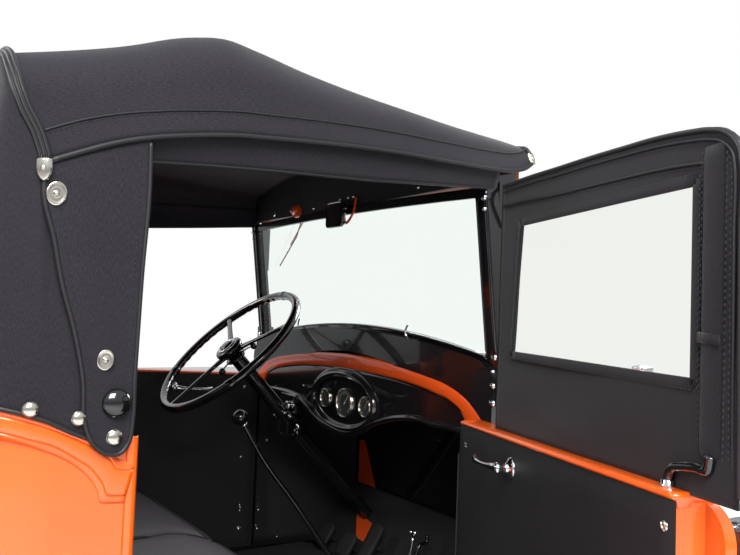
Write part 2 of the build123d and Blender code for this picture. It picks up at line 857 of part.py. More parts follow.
def dash_panel_solid(grow=0):
    """Panel under the rail: its lower edge dips round the instrument group. One plate holds the instruments."""
    half = rail_half - 20 + grow
    drop = rail_height + 0.3 - grow
    low_end = rail_end_z - rail_height - 2 - grow
    outline = Curve() + rail_curve(drop, half)
    outline += [Line((sign * half, rail_end_z - drop), (sign * half, low_end)) for sign in (1, -1)]
    turns = [(half, low_end), (400, 1050 - grow), (250, 1050 - grow), (208, 1045 - grow),
             (170, 1034 - grow), (0, dash_low_z - grow)]
    left = turns + [(-y, z) for y, z in reversed(turns[:-1])]
    for start, bend, end in zip(left[0::2], left[1::2], left[2::2]):
        outline += ThreePointArc(start, bend, end)
    return cross_plane(rail_x + 4 - grow) * extrude(make_face(outline), dash_thick + 2 * grow)


def gauge_solids():
    """Oval plate with one large and two small instruments."""
    plate = cross_plane(rail_x + 1) * extrude(Pos(0, gauge_z + 22) * Ellipse(162, 52), 4)
    small = small_gauge_radius
    for y, radius in ((0, gauge_radius), (gauge_spacing, small), (-gauge_spacing, small)):
        plate += rod((rail_x + 2, y, gauge_z), (rail_x - gauge_depth, y, gauge_z), radius)
    return plate


def column_axis():
    """Unit vector up the steering column."""
    tilt = math.radians(column_angle)
    return Vector(-math.cos(tilt), 0, math.sin(tilt))


def steering_solids():
    """Column tube from the floor to under the hub, and the three-spoke wheel."""
    hub = Vector(wheel_hub_x, wheel_hub_y, wheel_hub_z)
    up = column_axis()
    head = hub - up * (steering_hub_depth / 2 + running_clearance)
    column = rod(tuple(head), tuple(head - up * column_length), column_radius)
    plane = Plane(origin=hub, x_dir=(0, 1, 0), z_dir=up)
    rim = Torus(steering_rim_radius, steering_rim_thick)
    wheel = rim + Cylinder(steering_hub_radius, steering_hub_depth)
    for turn in steering_spokes:
        spoke = Pos(steering_rim_radius / 2, 0, -2) * Box(steering_rim_radius - 4, 17, 9)
        wheel += Rot(0, 0, turn) * spoke
    return column, plane * wheel


# Hood and radiator

def hood_sections(inset, low):
    """Rear and front stations of the hood."""
    rear = (cowl_front_half, low, cowl_front_corner_z, cowl_front_mid_z, cowl_front_round)
    front = (shell_half, low, shell_corner_z, shell_mid_z, shell_round)
    return [
        cowl_section(cowl_front_x + hood_gap, *rear, inset),
        cowl_section(shell_rear_x - hood_gap, *front, inset),
    ]


def hood_axis_points():
    """Ends of the hinge line along the top of the hood."""
    lift = 3
    slope = (shell_mid_z - cowl_front_mid_z) / (shell_rear_x - cowl_front_x)
    inset = 1
    return ((cowl_front_x + inset, 0, cowl_front_mid_z + lift + slope * inset),
            (shell_rear_x + 4, 0, shell_mid_z + lift + slope * 4))


def hood_solids():
    """Left and right hood halves and the hinge rod between them."""
    outer = arch_loft(hood_sections(0, hood_foot_z))
    inner = arch_loft(hood_sections(hood_skin, hood_foot_z - 40))
    skin = outer - inner
    start, end = hood_axis_points()
    pin = rod(start, end, hood_pin_radius)
    slot = rod(start, end, hood_pin_radius + running_clearance)
    half = skin & box(0, cut_reach, 2.5, cut_reach, 0, cut_reach)
    left = half - slot
    return left, flip(left), pin


def radiator_solids():
    """Radiator shell with its cap, and the grille inside it."""
    depth = shell_front_x - shell_rear_x
    outer_face = arch(shell_half, shell_foot_z, shell_corner_z, shell_mid_z, shell_round, -20)
    outer = cross_plane(shell_rear_x) * extrude(outer_face, depth)
    wall = shell_wall
    inside = shell_half - wall
    hole_top = shell_mid_z - wall - 14
    hole_face = arch(inside, shell_foot_z + wall, shell_corner_z - wall, hole_top, shell_round - wall, -18)
    hole = cross_plane(shell_rear_x - 1) * extrude(hole_face, depth + 2)
    shell = outer - hole
    cap_x = shell_front_x - cap_inset
    shell += rod((cap_x, 0, shell_mid_z - 6), (cap_x, 0, shell_mid_z + cap_rise), cap_radius)
    core = (cross_plane(shell_rear_x + 8) * extrude(hole_face, 44))
    bars = core
    step = 2 * inside / (grille_bars + 1)
    for number in range(grille_bars):
        y = -inside + step * (number + 1)
        half = grille_bar_width / 2
        bar = box(shell_rear_x + 50, shell_front_x - 14, y - half, y + half, shell_foot_z, shell_mid_z)
        bars += bar & hole
    return shell, bars


# Fenders

def fender_face(inner_y, inner_drop):
    """Crowned fender section: its own x is the height over the path, its own y the width."""
    crown, outer = fender_crown_y, fender_outer_y
    span = crown - inner_y
    big = (span ** 2 + inner_drop ** 2) / (2 * inner_drop)
    mid_in = -big + math.sqrt(big ** 2 - (span / 2) ** 2)
    reach = outer - crown
    small = (reach ** 2 + fender_outer_drop ** 2) / (2 * fender_outer_drop)
    mid_out = -small + math.sqrt(small ** 2 - (reach / 2) ** 2)
    skin = fender_skin
    low = -fender_outer_drop - fender_lip
    under = (-fender_outer_drop - 4, outer - skin)
    return make_face(Curve() + [
        ThreePointArc((-inner_drop, inner_y), (mid_in, crown - span / 2), (0, crown)),
        ThreePointArc((0, crown), (mid_out, crown + reach / 2), (-fender_outer_drop, outer)),
        Line((-fender_outer_drop, outer), (low, outer + 2)),
        Line((low, outer + 2), (low, outer + 2 - skin)),
        Line((low, outer + 2 - skin), under),
        ThreePointArc(under, (mid_out - skin, crown + reach / 2), (-skin, crown)),
        ThreePointArc((-skin, crown), (mid_in - skin, crown - span / 2), (-inner_drop - skin, inner_y)),
        Line((-inner_drop - skin, inner_y), (-inner_drop, inner_y)),
    ])


def fender_start_plane(axle_x, angle):
    """Plane across the fender path at an angle round the axle, from straight ahead."""
    turn = math.radians(angle)
    radial = (math.cos(turn), 0, math.sin(turn))
    origin = (axle_x + fender_radius * radial[0], 0, tyre_radius + fender_radius * radial[2])
    return Plane(origin=origin, x_dir=radial, z_dir=(-math.sin(turn), 0, math.cos(turn)))


def front_fender_solids():
    """Left front fender: three lengths round the tyre, then one swept back to the running board."""
    face = fender_face(fender_inner_y, fender_inner_drop)
    turns = (front_fender_start,) + front_fender_cuts + (front_fender_turn,)
    centre = (front_axle_x, tyre_radius)
    solids = []
    for start, end in zip(turns, turns[1:]):
        length = CenterArc(centre, fender_radius, start, end - start)
        solids.append(sweep(fender_start_plane(front_axle_x, start) * face, Plane.XZ * length))
    turn, radius, _ = fender_tail()
    tail = JernArc(length @ 1, length % 1, radius, -turn)
    solids.append(sweep(fender_start_plane(front_axle_x, front_fender_turn) * face, Plane.XZ * tail))
    return solids


def front_fender_apron():
    """Panel from the fender's inner edge down to the frame rail, and the sill beside the hood."""
    reach = fender_radius - fender_inner_drop - 2
    low = frame_top - 30
    base = math.sqrt(reach ** 2 - (low - tyre_radius) ** 2)
    rear_foot, front_foot = (front_axle_x - base, low), (front_axle_x + base, low)
    crown = (front_axle_x, tyre_radius + reach)
    disc = make_face(Curve() + [
        ThreePointArc(rear_foot, crown, front_foot),
        Line(front_foot, rear_foot),
    ])
    y0, y1 = frame_front_half + running_clearance, fender_inner_y - running_clearance
    wall = extrude(Plane(origin=(0, y1, 0), x_dir=(1, 0, 0), z_dir=(0, -1, 0)) * disc, y1 - y0)
    x0, x1 = cowl_front_x + 4, shell_rear_x - 4
    edge = y0 - running_clearance
    rim = [(x0, cowl_front_half + 4), (hood_wide_x, edge), (x1, edge)]
    thick = hood_panel_thick
    sill_z = hood_foot_z - 3 - thick
    sill = plan(rim + [(x1, shell_half - 20), (x0, cowl_front_half - 24)], sill_z, sill_z + thick)
    inner = [(x, y - thick) for x, y in reversed(rim)]
    sill += plan(rim + inner, frame_top + running_clearance, sill_z + 1)
    return [wall, sill]


def rear_fender_solid():
    """Left rear fender, a part turn round the axle line."""
    face = fender_face(bed_half + 0.3, 30)
    plane = fender_start_plane(rear_axle_x, rear_fender_start)
    axis = Axis((rear_axle_x, 0, tyre_radius), (0, -1, 0))
    return revolve(plane * face, axis, rear_fender_end - rear_fender_start)


def fender_tail():
    """Turn, radius and end of the front fender's reversed rear sweep."""
    turn = 210 - front_fender_turn
    back = math.radians(front_fender_turn)
    start_x = front_axle_x + fender_radius * math.cos(back)
    drop = tyre_radius + fender_radius * math.sin(back) - board_top_z
    radius = drop / (1 - math.cos(math.radians(turn)))
    return turn, radius, start_x - radius * math.sin(math.radians(turn))


def running_board_solid(front_x, rear_x):
    """Left running board with its splash apron and brackets to the frame."""
    step = box(rear_x, front_x, board_inner_y, fender_outer_y, board_top_z - board_step_thick, board_top_z)
    step += box(rear_x, front_x, fender_outer_y - 8, fender_outer_y, board_top_z - 34, board_top_z)
    apron = box(rear_x, front_x, board_inner_y, board_inner_y + 5, board_top_z - 10, body_floor_z - 0.3)
    board = step + apron
    for x in (front_x - 120, (front_x + rear_x) / 2, rear_x + 120):
        rail = frame_half_width(x - 18) + 0.3
        low = board_top_z - 44
        board += box(x - 18, x + 18, rail, fender_outer_y - 60, low, board_top_z - board_step_thick)
        board += box(x - 18, x + 18, rail, rail + 8, low, frame_low + 30)
    return board


# Load bed

def tailgate_pin_x():
    """Hinge line of the tailgate, under the middle of its thickness."""
    return bed_rear_x - tailgate_gap - tailgate_thick / 2


def bed_solid():
    """Open box with a planked floor, rolled top rails, stake pockets and cross sills."""
    front, rear = bed_front_x, bed_rear_x
    low = bed_floor_z - bed_floor_thick
    bed = box(rear, front, -bed_half, bed_half, low, bed_floor_z)
    bed += box(front - bed_skin, front, -bed_half, bed_half, low, bed_side_z)
    for sign in (1, -1):
        y = sign * bed_half
        bed += box(rear, front, y, y - sign * bed_skin, low, bed_side_z)
        bed += rod((rear, y, bed_side_z), (front, y, bed_side_z), bed_rail_radius)
        for share in stake_shares:
            x = front - share * bed_length
            bed += box(x - stake_half, x + stake_half, y, y + sign * stake_depth, low + 150, bed_side_z)
    bed += rod((front - 8, -bed_half, bed_side_z), (front - 8, bed_half, bed_side_z), bed_rail_radius)
    for share in bed_sill_shares:
        x, half = front - share * bed_length, bed_sill_width / 2
        bed += box(x - half, x + half, -bed_half + 20, bed_half - 20, frame_top, low)
    pin_x = tailgate_pin_x()
    for y in tailgate_hinges:
        half = tailgate_eye_width / 2
        bed += rod((pin_x, y - half, tailgate_pin_z), (pin_x, y + half, tailgate_pin_z), tailgate_eye_radius)
        bed += box(pin_x, rear + 1, y - half, y + half, low, tailgate_pin_z + 4)
        reach = half + tailgate_eye_width + 6
        bed += rod((pin_x, y - reach, tailgate_pin_z), (pin_x, y + reach, tailgate_pin_z), tailgate_pin_radius)
    return bed


def tailgate_solid():
    """Tailgate hinged along its foot."""
    x1 = bed_rear_x - tailgate_gap
    x0 = x1 - tailgate_thick
    low = bed_floor_z + 6
    gate = box(x0, x1, -bed_half + 4, bed_half - 4, low, bed_side_z - 4)
    top, half = bed_side_z - 4, bed_half - 4
    gate += rod((x0 + 12, -half, top), (x0 + 12, half, top), bed_rail_radius - 3)
    gate -= box(x0 - 1, x0 + 5, -bed_half + 90, bed_half - 90, low + 60, bed_side_z - 80)
    pin_x = tailgate_pin_x()
    for y in tailgate_hinges:
        for sign in (1, -1):
            start = y + sign * (tailgate_eye_width / 2 + 3)
            end = start + sign * tailgate_eye_width
            gate += rod((pin_x, start, tailgate_pin_z), (pin_x, end, tailgate_pin_z), tailgate_eye_radius)
            gate += box(x0 + 4, x1 - 4, start, end, tailgate_pin_z, low + 1)
        bore = tailgate_pin_radius + running_clearance
        gate -= rod((pin_x, y - 90, tailgate_pin_z), (pin_x, y + 90, tailgate_pin_z), bore)
    return gate


# Seat, floor and controls

def seat_solids():
    """Cushion and back, plain rounded pads."""
    cushion = box(seat_rear_x, seat_front_x, -seat_half, seat_half, seat_low_z, seat_top_z)
    cushion = fillet(cushion.edges().filter_by(Axis.Y).group_by(Axis.Z)[-1], 40)
    back_x = cab_back_x + body_wall + 4
    low = seat_top_z - 60
    outline = Polyline((seat_rear_x - 0.5, low), (seat_rear_x - 22, seat_back_top_z),
                       (back_x, seat_back_top_z), (back_x, low), close=True)
    back = side_prism(outline, -seat_back_half, seat_back_half)
    return cushion, back


def floor_solid():
    """Floor plate, toe board and the box that the seat stands on."""
    half = side_half(0) - body_wall - 6
    wide = side_half(rear_pillar_x) - body_wall - 6
    low, top = body_floor_z + 0.3, body_floor_z + 14
    front, turn = floor_front_x, rear_pillar_x - 19
    bend, back = cab_back_x + cab_corner_radius + 2, cab_back_x + body_wall + 1
    corner = (back, cab_corner_radius / 2 - wide)
    right = [(front, -half + 24), (0, -half), (turn, -wide), (bend, -wide), corner]
    floor = plan(right + [(x, -y) for x, y in reversed(right)], low, top)
    slope = Polyline((front - 10, low), (front, top), (toe_top_x, toe_top_z), (toe_top_x + 12, toe_top_z),
                     (front + 16, low), close=True)
    floor += side_prism(slope, -half + 60, half - 60)
    rear, ahead, half = seat_rear_x + 10, seat_front_x - 30, seat_half - 20
    seat_box = box(rear, ahead, -half, half, top, seat_low_z - 0.3)
    seat_box -= box(rear + 20, ahead - 20, 20 - half, half - 20, top, seat_low_z + 1)
    floor += seat_box
    hub = Vector(wheel_hub_x, wheel_hub_y, wheel_hub_z)
    up = column_axis()
    floor -= rod(tuple(hub), tuple(hub - up * 1200), column_radius + 1)
    return floor


def lever_solid():
    """Gear lever and hand lever on one floor plate."""
    base = body_floor_z + 14
    plate = box(120, 168, -120, 60, base, base + 8)
    foot, knee, knob = (146, 0, base + 4), (146, 0, base + 90), (60, 10, base + 250)
    plate += rod(foot, (146, 0, base + 94), 8)
    plate += rod(knee, knob, 8)
    plate += rod(knob, (49, 11, base + 271), 19)
    plate += rod((146, -90, base + 4), (120, -92, base + 240), 9)
    return plate


# Soft top

def top_arch(station, inset, low=None):
    """Arch of the top at a station of the table."""
    x, half, edge_z, shoulder_z, bend = station
    foot = edge_z if low is None else low
    return arch(half - inset, foot, shoulder_z - inset, shoulder_z + top_crown - inset, max(bend - inset, 12),
                top_side_lean)


def top_volume(inset, drop):
    """Everything under the fabric down to a drop below its side edges, inset from its outside."""
    faces = [cross_plane(s[0]) * top_arch(s, inset, s[2] - drop) for s in top_stations]
    bays = [loft(pair, ruled=True) for pair in zip(faces, faces[1:])]
    return bays[0] + bays[1:]


def top_solid():
    """Fabric skin over the bows, open below and closed at the front by a turned-down flap."""
    shell = top_volume(0, 0) - top_volume(top_skin, 40)
    front = top_stations[0]
    return shell + cross_plane(front[0]) * extrude(top_arch(front, 0), top_front_thick)


def station_at(x):
    """Edge and shoulder of the top at any x, between the stations of the table."""
    for ahead, behind in zip(top_stations, top_stations[1:]):
        if behind[0] <= x <= ahead[0]:
            share = (ahead[0] - x) / (ahead[0] - behind[0])
            return tuple(a + share * (b - a) for a, b in zip(ahead, behind))
    return top_stations[-1]


def bow_solid(hoop, x, foot_z, elbow):
    """A wooden bow under the fabric, with the irons that carry it from the latch pillars."""
    bow = hoop & box(x - bow_width / 2, x + bow_width / 2, -cut_reach, cut_reach, foot_z, cut_reach)
    half = station_at(x)[1] - top_skin - bow_depth / 2 - iron_foot_inset
    plate_y = quarter_half(iron_pivot_x + iron_plate_radius) - body_wall - running_clearance
    pivot = (iron_pivot_x, plate_y - iron_plate_thick / 2, iron_pivot_z)
    line = [(x, half, foot_z + iron_foot_lift)] + elbow + [pivot]
    for sign in (1, -1):
        ends = [(px, sign * py, pz) for px, py, pz in line]
        for start, end in zip(ends, ends[1:]):
            bow += rod(start, end, iron_radius)
        plate = [(iron_pivot_x, sign * y, iron_pivot_z) for y in (plate_y, plate_y - iron_plate_thick)]
        bow += rod(plate[0], plate[1], iron_plate_radius)
    return bow


def top_frame_solids():
    """Header over the windshield, and the two bows with their irons."""
    room = top_volume(top_skin + running_clearance, 60)
    header = room & box(header_x, header_x + header_depth, -header_half, header_half, header_low_z, cut_reach)
    hoop = room - top_volume(top_skin + bow_depth, 90)
    main_bow = bow_solid(hoop, main_bow_x, station_at(main_bow_x)[2] - main_bow_drop, [iron_elbow])
    rear_bow = bow_solid(hoop, rear_bow_x, station_at(rear_bow_x)[2] + 30, [])
    return [header, main_bow + rear_bow]


def back_curtain_solids():
    """Rear curtain from the rear bow down to the body's top edge: a back with its window, and two sides."""
    last = top_stations[-1]
    x0 = last[0] - 0.3
    low = 1100
    reach = x0 - (cab_back_x + 2)

    def shape(inset, forward):
        arch_face = top_arch(last, inset, low - inset)
        block = cross_plane(x0 + forward) * extrude(arch_face, -(reach + forward))
        lean = Polyline((x0 + 40, low - 60), (x0 + 40, cut_reach), (x0 - 26 + inset, cut_reach),
                        (x0 - 26 + inset, curtain_rear_top_z), (cab_back_x + 2 + inset, back_edge_z),
                        (cab_back_x + 2 + inset, low - 60), close=True)
        return block & side_prism(lean, -cut_reach, cut_reach)

    wall = shape(0, 0) - shape(curtain_thick, 20)
    body = side_prism(quarter_top_outline(0.3), -cut_reach, cut_reach)
    wall = wall - body
    half, (z0, z1) = rear_pane_half, rear_pane_heights
    wall -= box(cab_back_x - 40, x0 - 20, -half, half, z0, z1)
    seam = back_panel_half
    cuts = [(-cut_reach, -seam), (-seam, seam), (seam, cut_reach)]
    return [wall & box(cab_back_x - 20, x0 + 1, y0, y1, 0, cut_reach) for y0, y1 in cuts]


def side_sheet(out, thick):
    """An upright sheet along the body's left side, its inner face a distance outside it."""
    ends = (0, cab_back_x)
    inner = [(x, side_half(x) + out) for x in ends]
    outer = [(x, y + thick) for x, y in reversed(inner)]
    return plan(inner + outer, cut_top_z - sheet_span, cut_top_z + sheet_span)


def flap_solids():
    """Flap of the left rear corner that hangs over the latch pillar."""
    front_x, rear_x = flap_front_x, flap_rear_x
    top_front, top_rear = station_at(front_x)[2] - 0.5, station_at(rear_x)[2] - 0.5
    outline = Polyline((front_x, top_front), *flap_outline, (rear_x, top_rear), close=True)
    return side_prism(outline, side_cut_y, cut_reach) & side_sheet(flap_out, flap_thick)


def door_curtain_solid():
    """Fabric curtain that stands on the left door when shut, with its clear pane left open."""
    def along(s):
        return hinge_x - s * math.cos(math.radians(side_angle))

    edge = Polyline(*[(along(d), z) for d, z in curtain_edge], close=True)
    pane = Polyline(*[(along(d), z) for d, z in curtain_pane], close=True)
    curtain = side_prism(edge, side_cut_y, cut_reach) - side_prism(pane, side_cut_y, cut_reach)
    curtain = curtain & side_sheet(-curtain_inset - curtain_thick, curtain_thick)
    for d in curtain_rods:
        x, half = along(d), curtain_rod_width / 2
        y = side_half(x) - curtain_inset - curtain_thick / 2
        foot = belt_front_z + belt_slope * x + 0.3
        curtain += box(x - half, x + half, y - half, y + half, foot, curtain_foot_z + curtain_rod_lap)
    return curtain


# Lamps, bumpers and mirror

def lamp_solids():
    """Headlamps on a bar between the fenders, and a tail lamp."""
    tail = 30 - lamp_depth
    profile = Curve() + [
        Line((0, tail), (24, tail)),
        ThreePointArc((24, tail), (lamp_radius * 0.8, -lamp_depth * 0.62), (lamp_radius, -20)),
        Line((lamp_radius, -20), (lamp_radius + 6, -12)),
        Line((lamp_radius + 6, -12), (lamp_radius, 6)),
        ThreePointArc((lamp_radius, 6), (lamp_radius * 0.55, 18), (24, 24)),
        Line((24, 24), (0, 24)),
        Line((0, 24), (0, tail)),
    ]
    bowl = revolve(make_face(profile), Axis.Y)
    bar_z = lamp_z - lamp_bar_drop
    reach = frame_front_half
    bar = rod((lamp_bar_x, -reach, bar_z), (lamp_bar_x, reach, bar_z), lamp_bar_radius)
    for sign in (1, -1):
        y = sign * lamp_y
        foot_y = sign * (lamp_y - 22)
        bar += rod((lamp_bar_x, foot_y, bar_z), (lamp_bar_x, y, lamp_z - 60), 13)
        bar += Pos(lamp_x, y, lamp_z) * Rot(0, 0, -90) * bowl
    return bar


def tail_lamp_solid():
    """Round tail lamp on a bracket from the bed's rear corner."""
    x, y, z = bed_rear_x + 30, bed_half + 95, bed_floor_z - 20
    lamp = rod((x, y, z), (x - 66, y, z), 46)
    lamp += box(x - 8, x, bed_half + 0.3, y, z - 14, z + 14)
    lamp += box(x - 8, x + 40, bed_half + 0.3, bed_half + 6, z - 14, z + 60)
    return lamp


def bumper_solids():
    """Front bumper bars on irons from the frame horns, and a plain rear bar."""
    def bar(x, z, bow):
        tip, inner, half = x - bow, x - bow - bumper_thick, bumper_half
        outline = Curve() + [
            ThreePointArc((tip, -half), (x, 0), (tip, half)),
            Line((tip, half), (inner, half)),
            ThreePointArc((inner, half), (x - bumper_thick, 0), (inner, -half)),
            Line((inner, -half), (tip, -half)),
        ]
        return Pos(0, 0, z - bumper_height / 2) * extrude(make_face(outline), bumper_height)

    front = bar(bumper_front_x, bumper_z + 32, 34) + bar(bumper_front_x, bumper_z - 32, 34)
    for sign in (1, -1):
        y = sign * (frame_front_half - frame_flange / 2)
        front += box(frame_front_x + 0.3, bumper_front_x - 18, y - 18, y + 18, frame_low + 4, frame_low + 58)
        front += box(bumper_front_x - 24, bumper_front_x - 8, y - 22, y + 22, bumper_z - 52, bumper_z + 52)
    rear = bar(bumper_rear_x + 34 + bumper_thick, bumper_z + 10, -34)
    for sign in (1, -1):
        y = sign * (frame_rear_half - frame_flange / 2)
        rear += box(bumper_rear_x + 26, frame_rear_x - 0.3, y - 18, y + 18, bumper_z - 12, bumper_z + 32)
    return front, rear


def mirror_solid():
    """Inside mirror hung from the header."""
    x, y, z = mirror_place
    glass = Pos(x, y, z) * Box(mirror_thick, mirror_width, mirror_height)
    face = header_x - running_clearance
    seat_z = header_low_z + 18
    stem = rod((x + 2, y, z), (face - 8, y - 30, seat_z), 6)
    plate = box(face - 9, face, y - 46, y - 14, seat_z - 14, seat_z + 14)
    return glass + stem + plate


def build_parts():
    """Every node by name, at rest."""
    parts = {}
    place_wheels(parts)
    parts["frame"] = Compound(frame_solids())
    parts["front_axle"] = front_axle_solid()
    parts["rear_axle"] = rear_axle_solid()
    knuckle = knuckle_solid()
    parts["knuckle_left"] = knuckle
    parts["knuckle_right"] = flip(knuckle)
    parts["engine"] = engine_solid()
    parts["cowl"] = cowl_solid() + hinge_brackets() + [flip(b) for b in hinge_brackets()]
    quarter_left, quarter_right, back = rear_body_solids()
    parts["quarter_left"] = quarter_left
    parts["quarter_right"] = quarter_right
    parts["back_panel"] = back
    door = door_solid()
    board = door_board_solid()
    parts["door_left"] = door
    parts["door_right"] = open_right(door)
    parts["door_board_left"] = board
    parts["door_board_right"] = open_right(board)
    parts["door_curtain_right"] = open_right(door_curtain_solid())
    parts["windshield_frame"], parts["windshield_glass"] = windshield_solids()
    parts["dash_rail"] = dash_rail_solid()
    parts["dash_panel"] = dash_panel_solid() + gauge_solids()
    parts["steering_column"], parts["steering_wheel"] = steering_solids()
    parts["hood_left"], parts["hood_right"], hinge = hood_solids()
    shell, parts["grille"] = radiator_solids()
    parts["radiator_shell"] = shell + hinge
    pieces = front_fender_solids() + front_fender_apron()
    parts["front_fenders"] = Compound(pieces + [flip(piece) for piece in pieces])
    rear_fender = rear_fender_solid()
    parts["rear_fenders"] = Compound([rear_fender, flip(rear_fender)])
    front_end = fender_tail()[2]
    rear_end = rear_axle_x + fender_radius * math.cos(math.radians(rear_fender_start)) + 4
    step = running_board_solid(front_end - 0.3, rear_end)
    parts["running_boards"] = Compound([step, flip(step)])
    parts["bed"] = bed_solid()
    parts["tailgate"] = tailgate_solid()
    parts["seat_cushion"], parts["seat_back"] = seat_solids()
    parts["floor"] = floor_solid()
    parts["levers"] = lever_solid()
    parts["top_cover"] = top_solid()
    parts["top_frame"] = Compound(top_frame_solids())
    flap = flap_solids()
    parts["back_curtain"] = Compound(back_curtain_solids() + [flap, flip(flap)])
    parts["lamps"] = Compound([lamp_solids(), tail_lamp_solid()])
    parts["bumpers"] = Compound(bumper_solids())
    parts["mirror"] = mirror_solid()
    return parts


def main():
    """Build every node, centre the whole box over the origin and write the files."""
    os.makedirs("parts", exist_ok=True)
    parts = build_parts()
    whole = Compound(list(parts.values())).bounding_box()
    shift = Pos(-whole.center().X, -whole.center().Y, 0)
    print("shift of the vehicle frame, mm:", round(-whole.center().X, 3), round(-whole.center().Y, 3))
    for name, shape in parts.items():
        export_step(shift * shape, "parts/" + name + ".step")


main()
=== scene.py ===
"""Looks of an open two-seat pickup of the early 1930s: paint, fabric top, trim, glass, tyres and the studio."""

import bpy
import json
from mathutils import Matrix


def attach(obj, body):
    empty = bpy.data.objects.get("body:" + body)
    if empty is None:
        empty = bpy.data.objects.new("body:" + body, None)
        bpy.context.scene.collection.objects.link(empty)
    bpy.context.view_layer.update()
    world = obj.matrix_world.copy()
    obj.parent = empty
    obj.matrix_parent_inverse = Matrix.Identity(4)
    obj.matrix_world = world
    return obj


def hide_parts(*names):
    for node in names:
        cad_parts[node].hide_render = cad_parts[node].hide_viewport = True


bl_info = {
    "name": "Roadster pickup",
    "version": (1, 0, 0),
    "blender": (4, 5, 0),
    "location": "View3D > Sidebar > Roadster",
    "description": "Dresses a roadster pickup with paint, soft top, trim, glass and tyres",
    "category": "Object",
}

import json
import math

import bmesh
import bpy
import numpy as np
from bpy.props import FloatProperty, FloatVectorProperty, PointerProperty
from mathutils import Matrix, Vector

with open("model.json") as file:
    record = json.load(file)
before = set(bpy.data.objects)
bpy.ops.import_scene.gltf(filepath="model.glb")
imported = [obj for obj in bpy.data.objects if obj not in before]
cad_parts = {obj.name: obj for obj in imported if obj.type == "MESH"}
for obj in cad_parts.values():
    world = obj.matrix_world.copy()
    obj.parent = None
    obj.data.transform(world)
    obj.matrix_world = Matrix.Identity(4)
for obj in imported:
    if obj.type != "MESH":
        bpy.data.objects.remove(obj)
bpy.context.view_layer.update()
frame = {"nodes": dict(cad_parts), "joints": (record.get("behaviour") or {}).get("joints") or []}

# Every size below is in millimetres in the vehicle's own axes: x forward from the door hinge pillar,
# y to the left of the centre plane, z up from the floor. The steering joint says where that is in the frame.
KINGPIN = np.array((1090.0, 618.0, 362.0))
STEER_JOINT = next(joint for joint in frame["joints"] if joint["name"] == "steer_left")
ORIGIN = np.array(STEER_JOINT["pos_m"]) - KINGPIN / 1000

# Body side, door and hinge sizes of the solids
SIDE_SLOPE = (626 - 538) / -741
HINGE = np.array((-28.0, -(538 + SIDE_SLOPE * -28 + 16), 0.0))
DOOR_OPEN = math.radians(61.2)
FRONT_AXLE_X = 1090
REAR_AXLE_X = -1680
WHEEL_Y = 710
TYRE_RADIUS = 362
BED = {"front": -1040, "rear": -2690, "half": 600, "floor": 672, "side": 1002}

# Bodies that the pieces ride on
CHASSIS = "chassis"
RIGHT_DOOR = "right_door"
LEFT_DOOR = "left_door"


def at(points):
    """Vehicle millimetres to metres of the frame."""
    return np.asarray(points, float) / 1000 + ORIGIN


def side_half(x):
    """Half width of the body side behind the hinge pillar."""
    return 538 + SIDE_SLOPE * np.asarray(x, float)


# Surfaces as grids of points

def patch(points, close_u=False, close_v=False, flip=False):
    """A grid of points, shape (u, v, 3), with what make_piece needs to turn it into faces."""
    return {"points": np.asarray(points, float), "u": close_u, "v": close_v, "flip": flip}


def patch_faces(item, base):
    """Quads and their UVs in metres: u and v are the mean lengths along the two ways of the grid."""
    points = item["points"]
    rows, cols = points.shape[:2]
    index = np.arange(rows * cols).reshape(rows, cols) + base
    wrapped = points
    if item["u"]:
        index = np.concatenate((index, index[:1]), 0)
        wrapped = np.concatenate((wrapped, wrapped[:1]), 0)
    if item["v"]:
        index = np.concatenate((index, index[:, :1]), 1)
        wrapped = np.concatenate((wrapped, wrapped[:, :1]), 1)
    step_u = np.linalg.norm(np.diff(wrapped, axis=0), axis=2).mean(1)
    step_v = np.linalg.norm(np.diff(wrapped, axis=1), axis=2).mean(0)
    long_u = np.concatenate(((0,), np.cumsum(step_u))) / 1000
    long_v = np.concatenate(((0,), np.cumsum(step_v))) / 1000
    uv = np.stack(np.meshgrid(long_u, long_v, indexing="ij"), -1)
    corners = (slice(None, -1), slice(None, -1)), (slice(1, None), slice(None, -1)), \
        (slice(1, None), slice(1, None)), (slice(None, -1), slice(1, None))
    faces = np.stack([index[c] for c in corners], -1).reshape(-1, 4)
    loops = np.stack([uv[c] for c in corners], 2).reshape(-1, 4, 2)
    if item["flip"]:
        faces, loops = faces[:, ::-1], loops[:, ::-1]
    return faces, loops


def add_piece(name, mesh, body):
    """Puts a mesh into the scene as a piece that rides on a body."""
    piece = bpy.data.objects.new(name, mesh)
    bpy.context.scene.collection.objects.link(piece)
    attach(piece, body)
    return piece


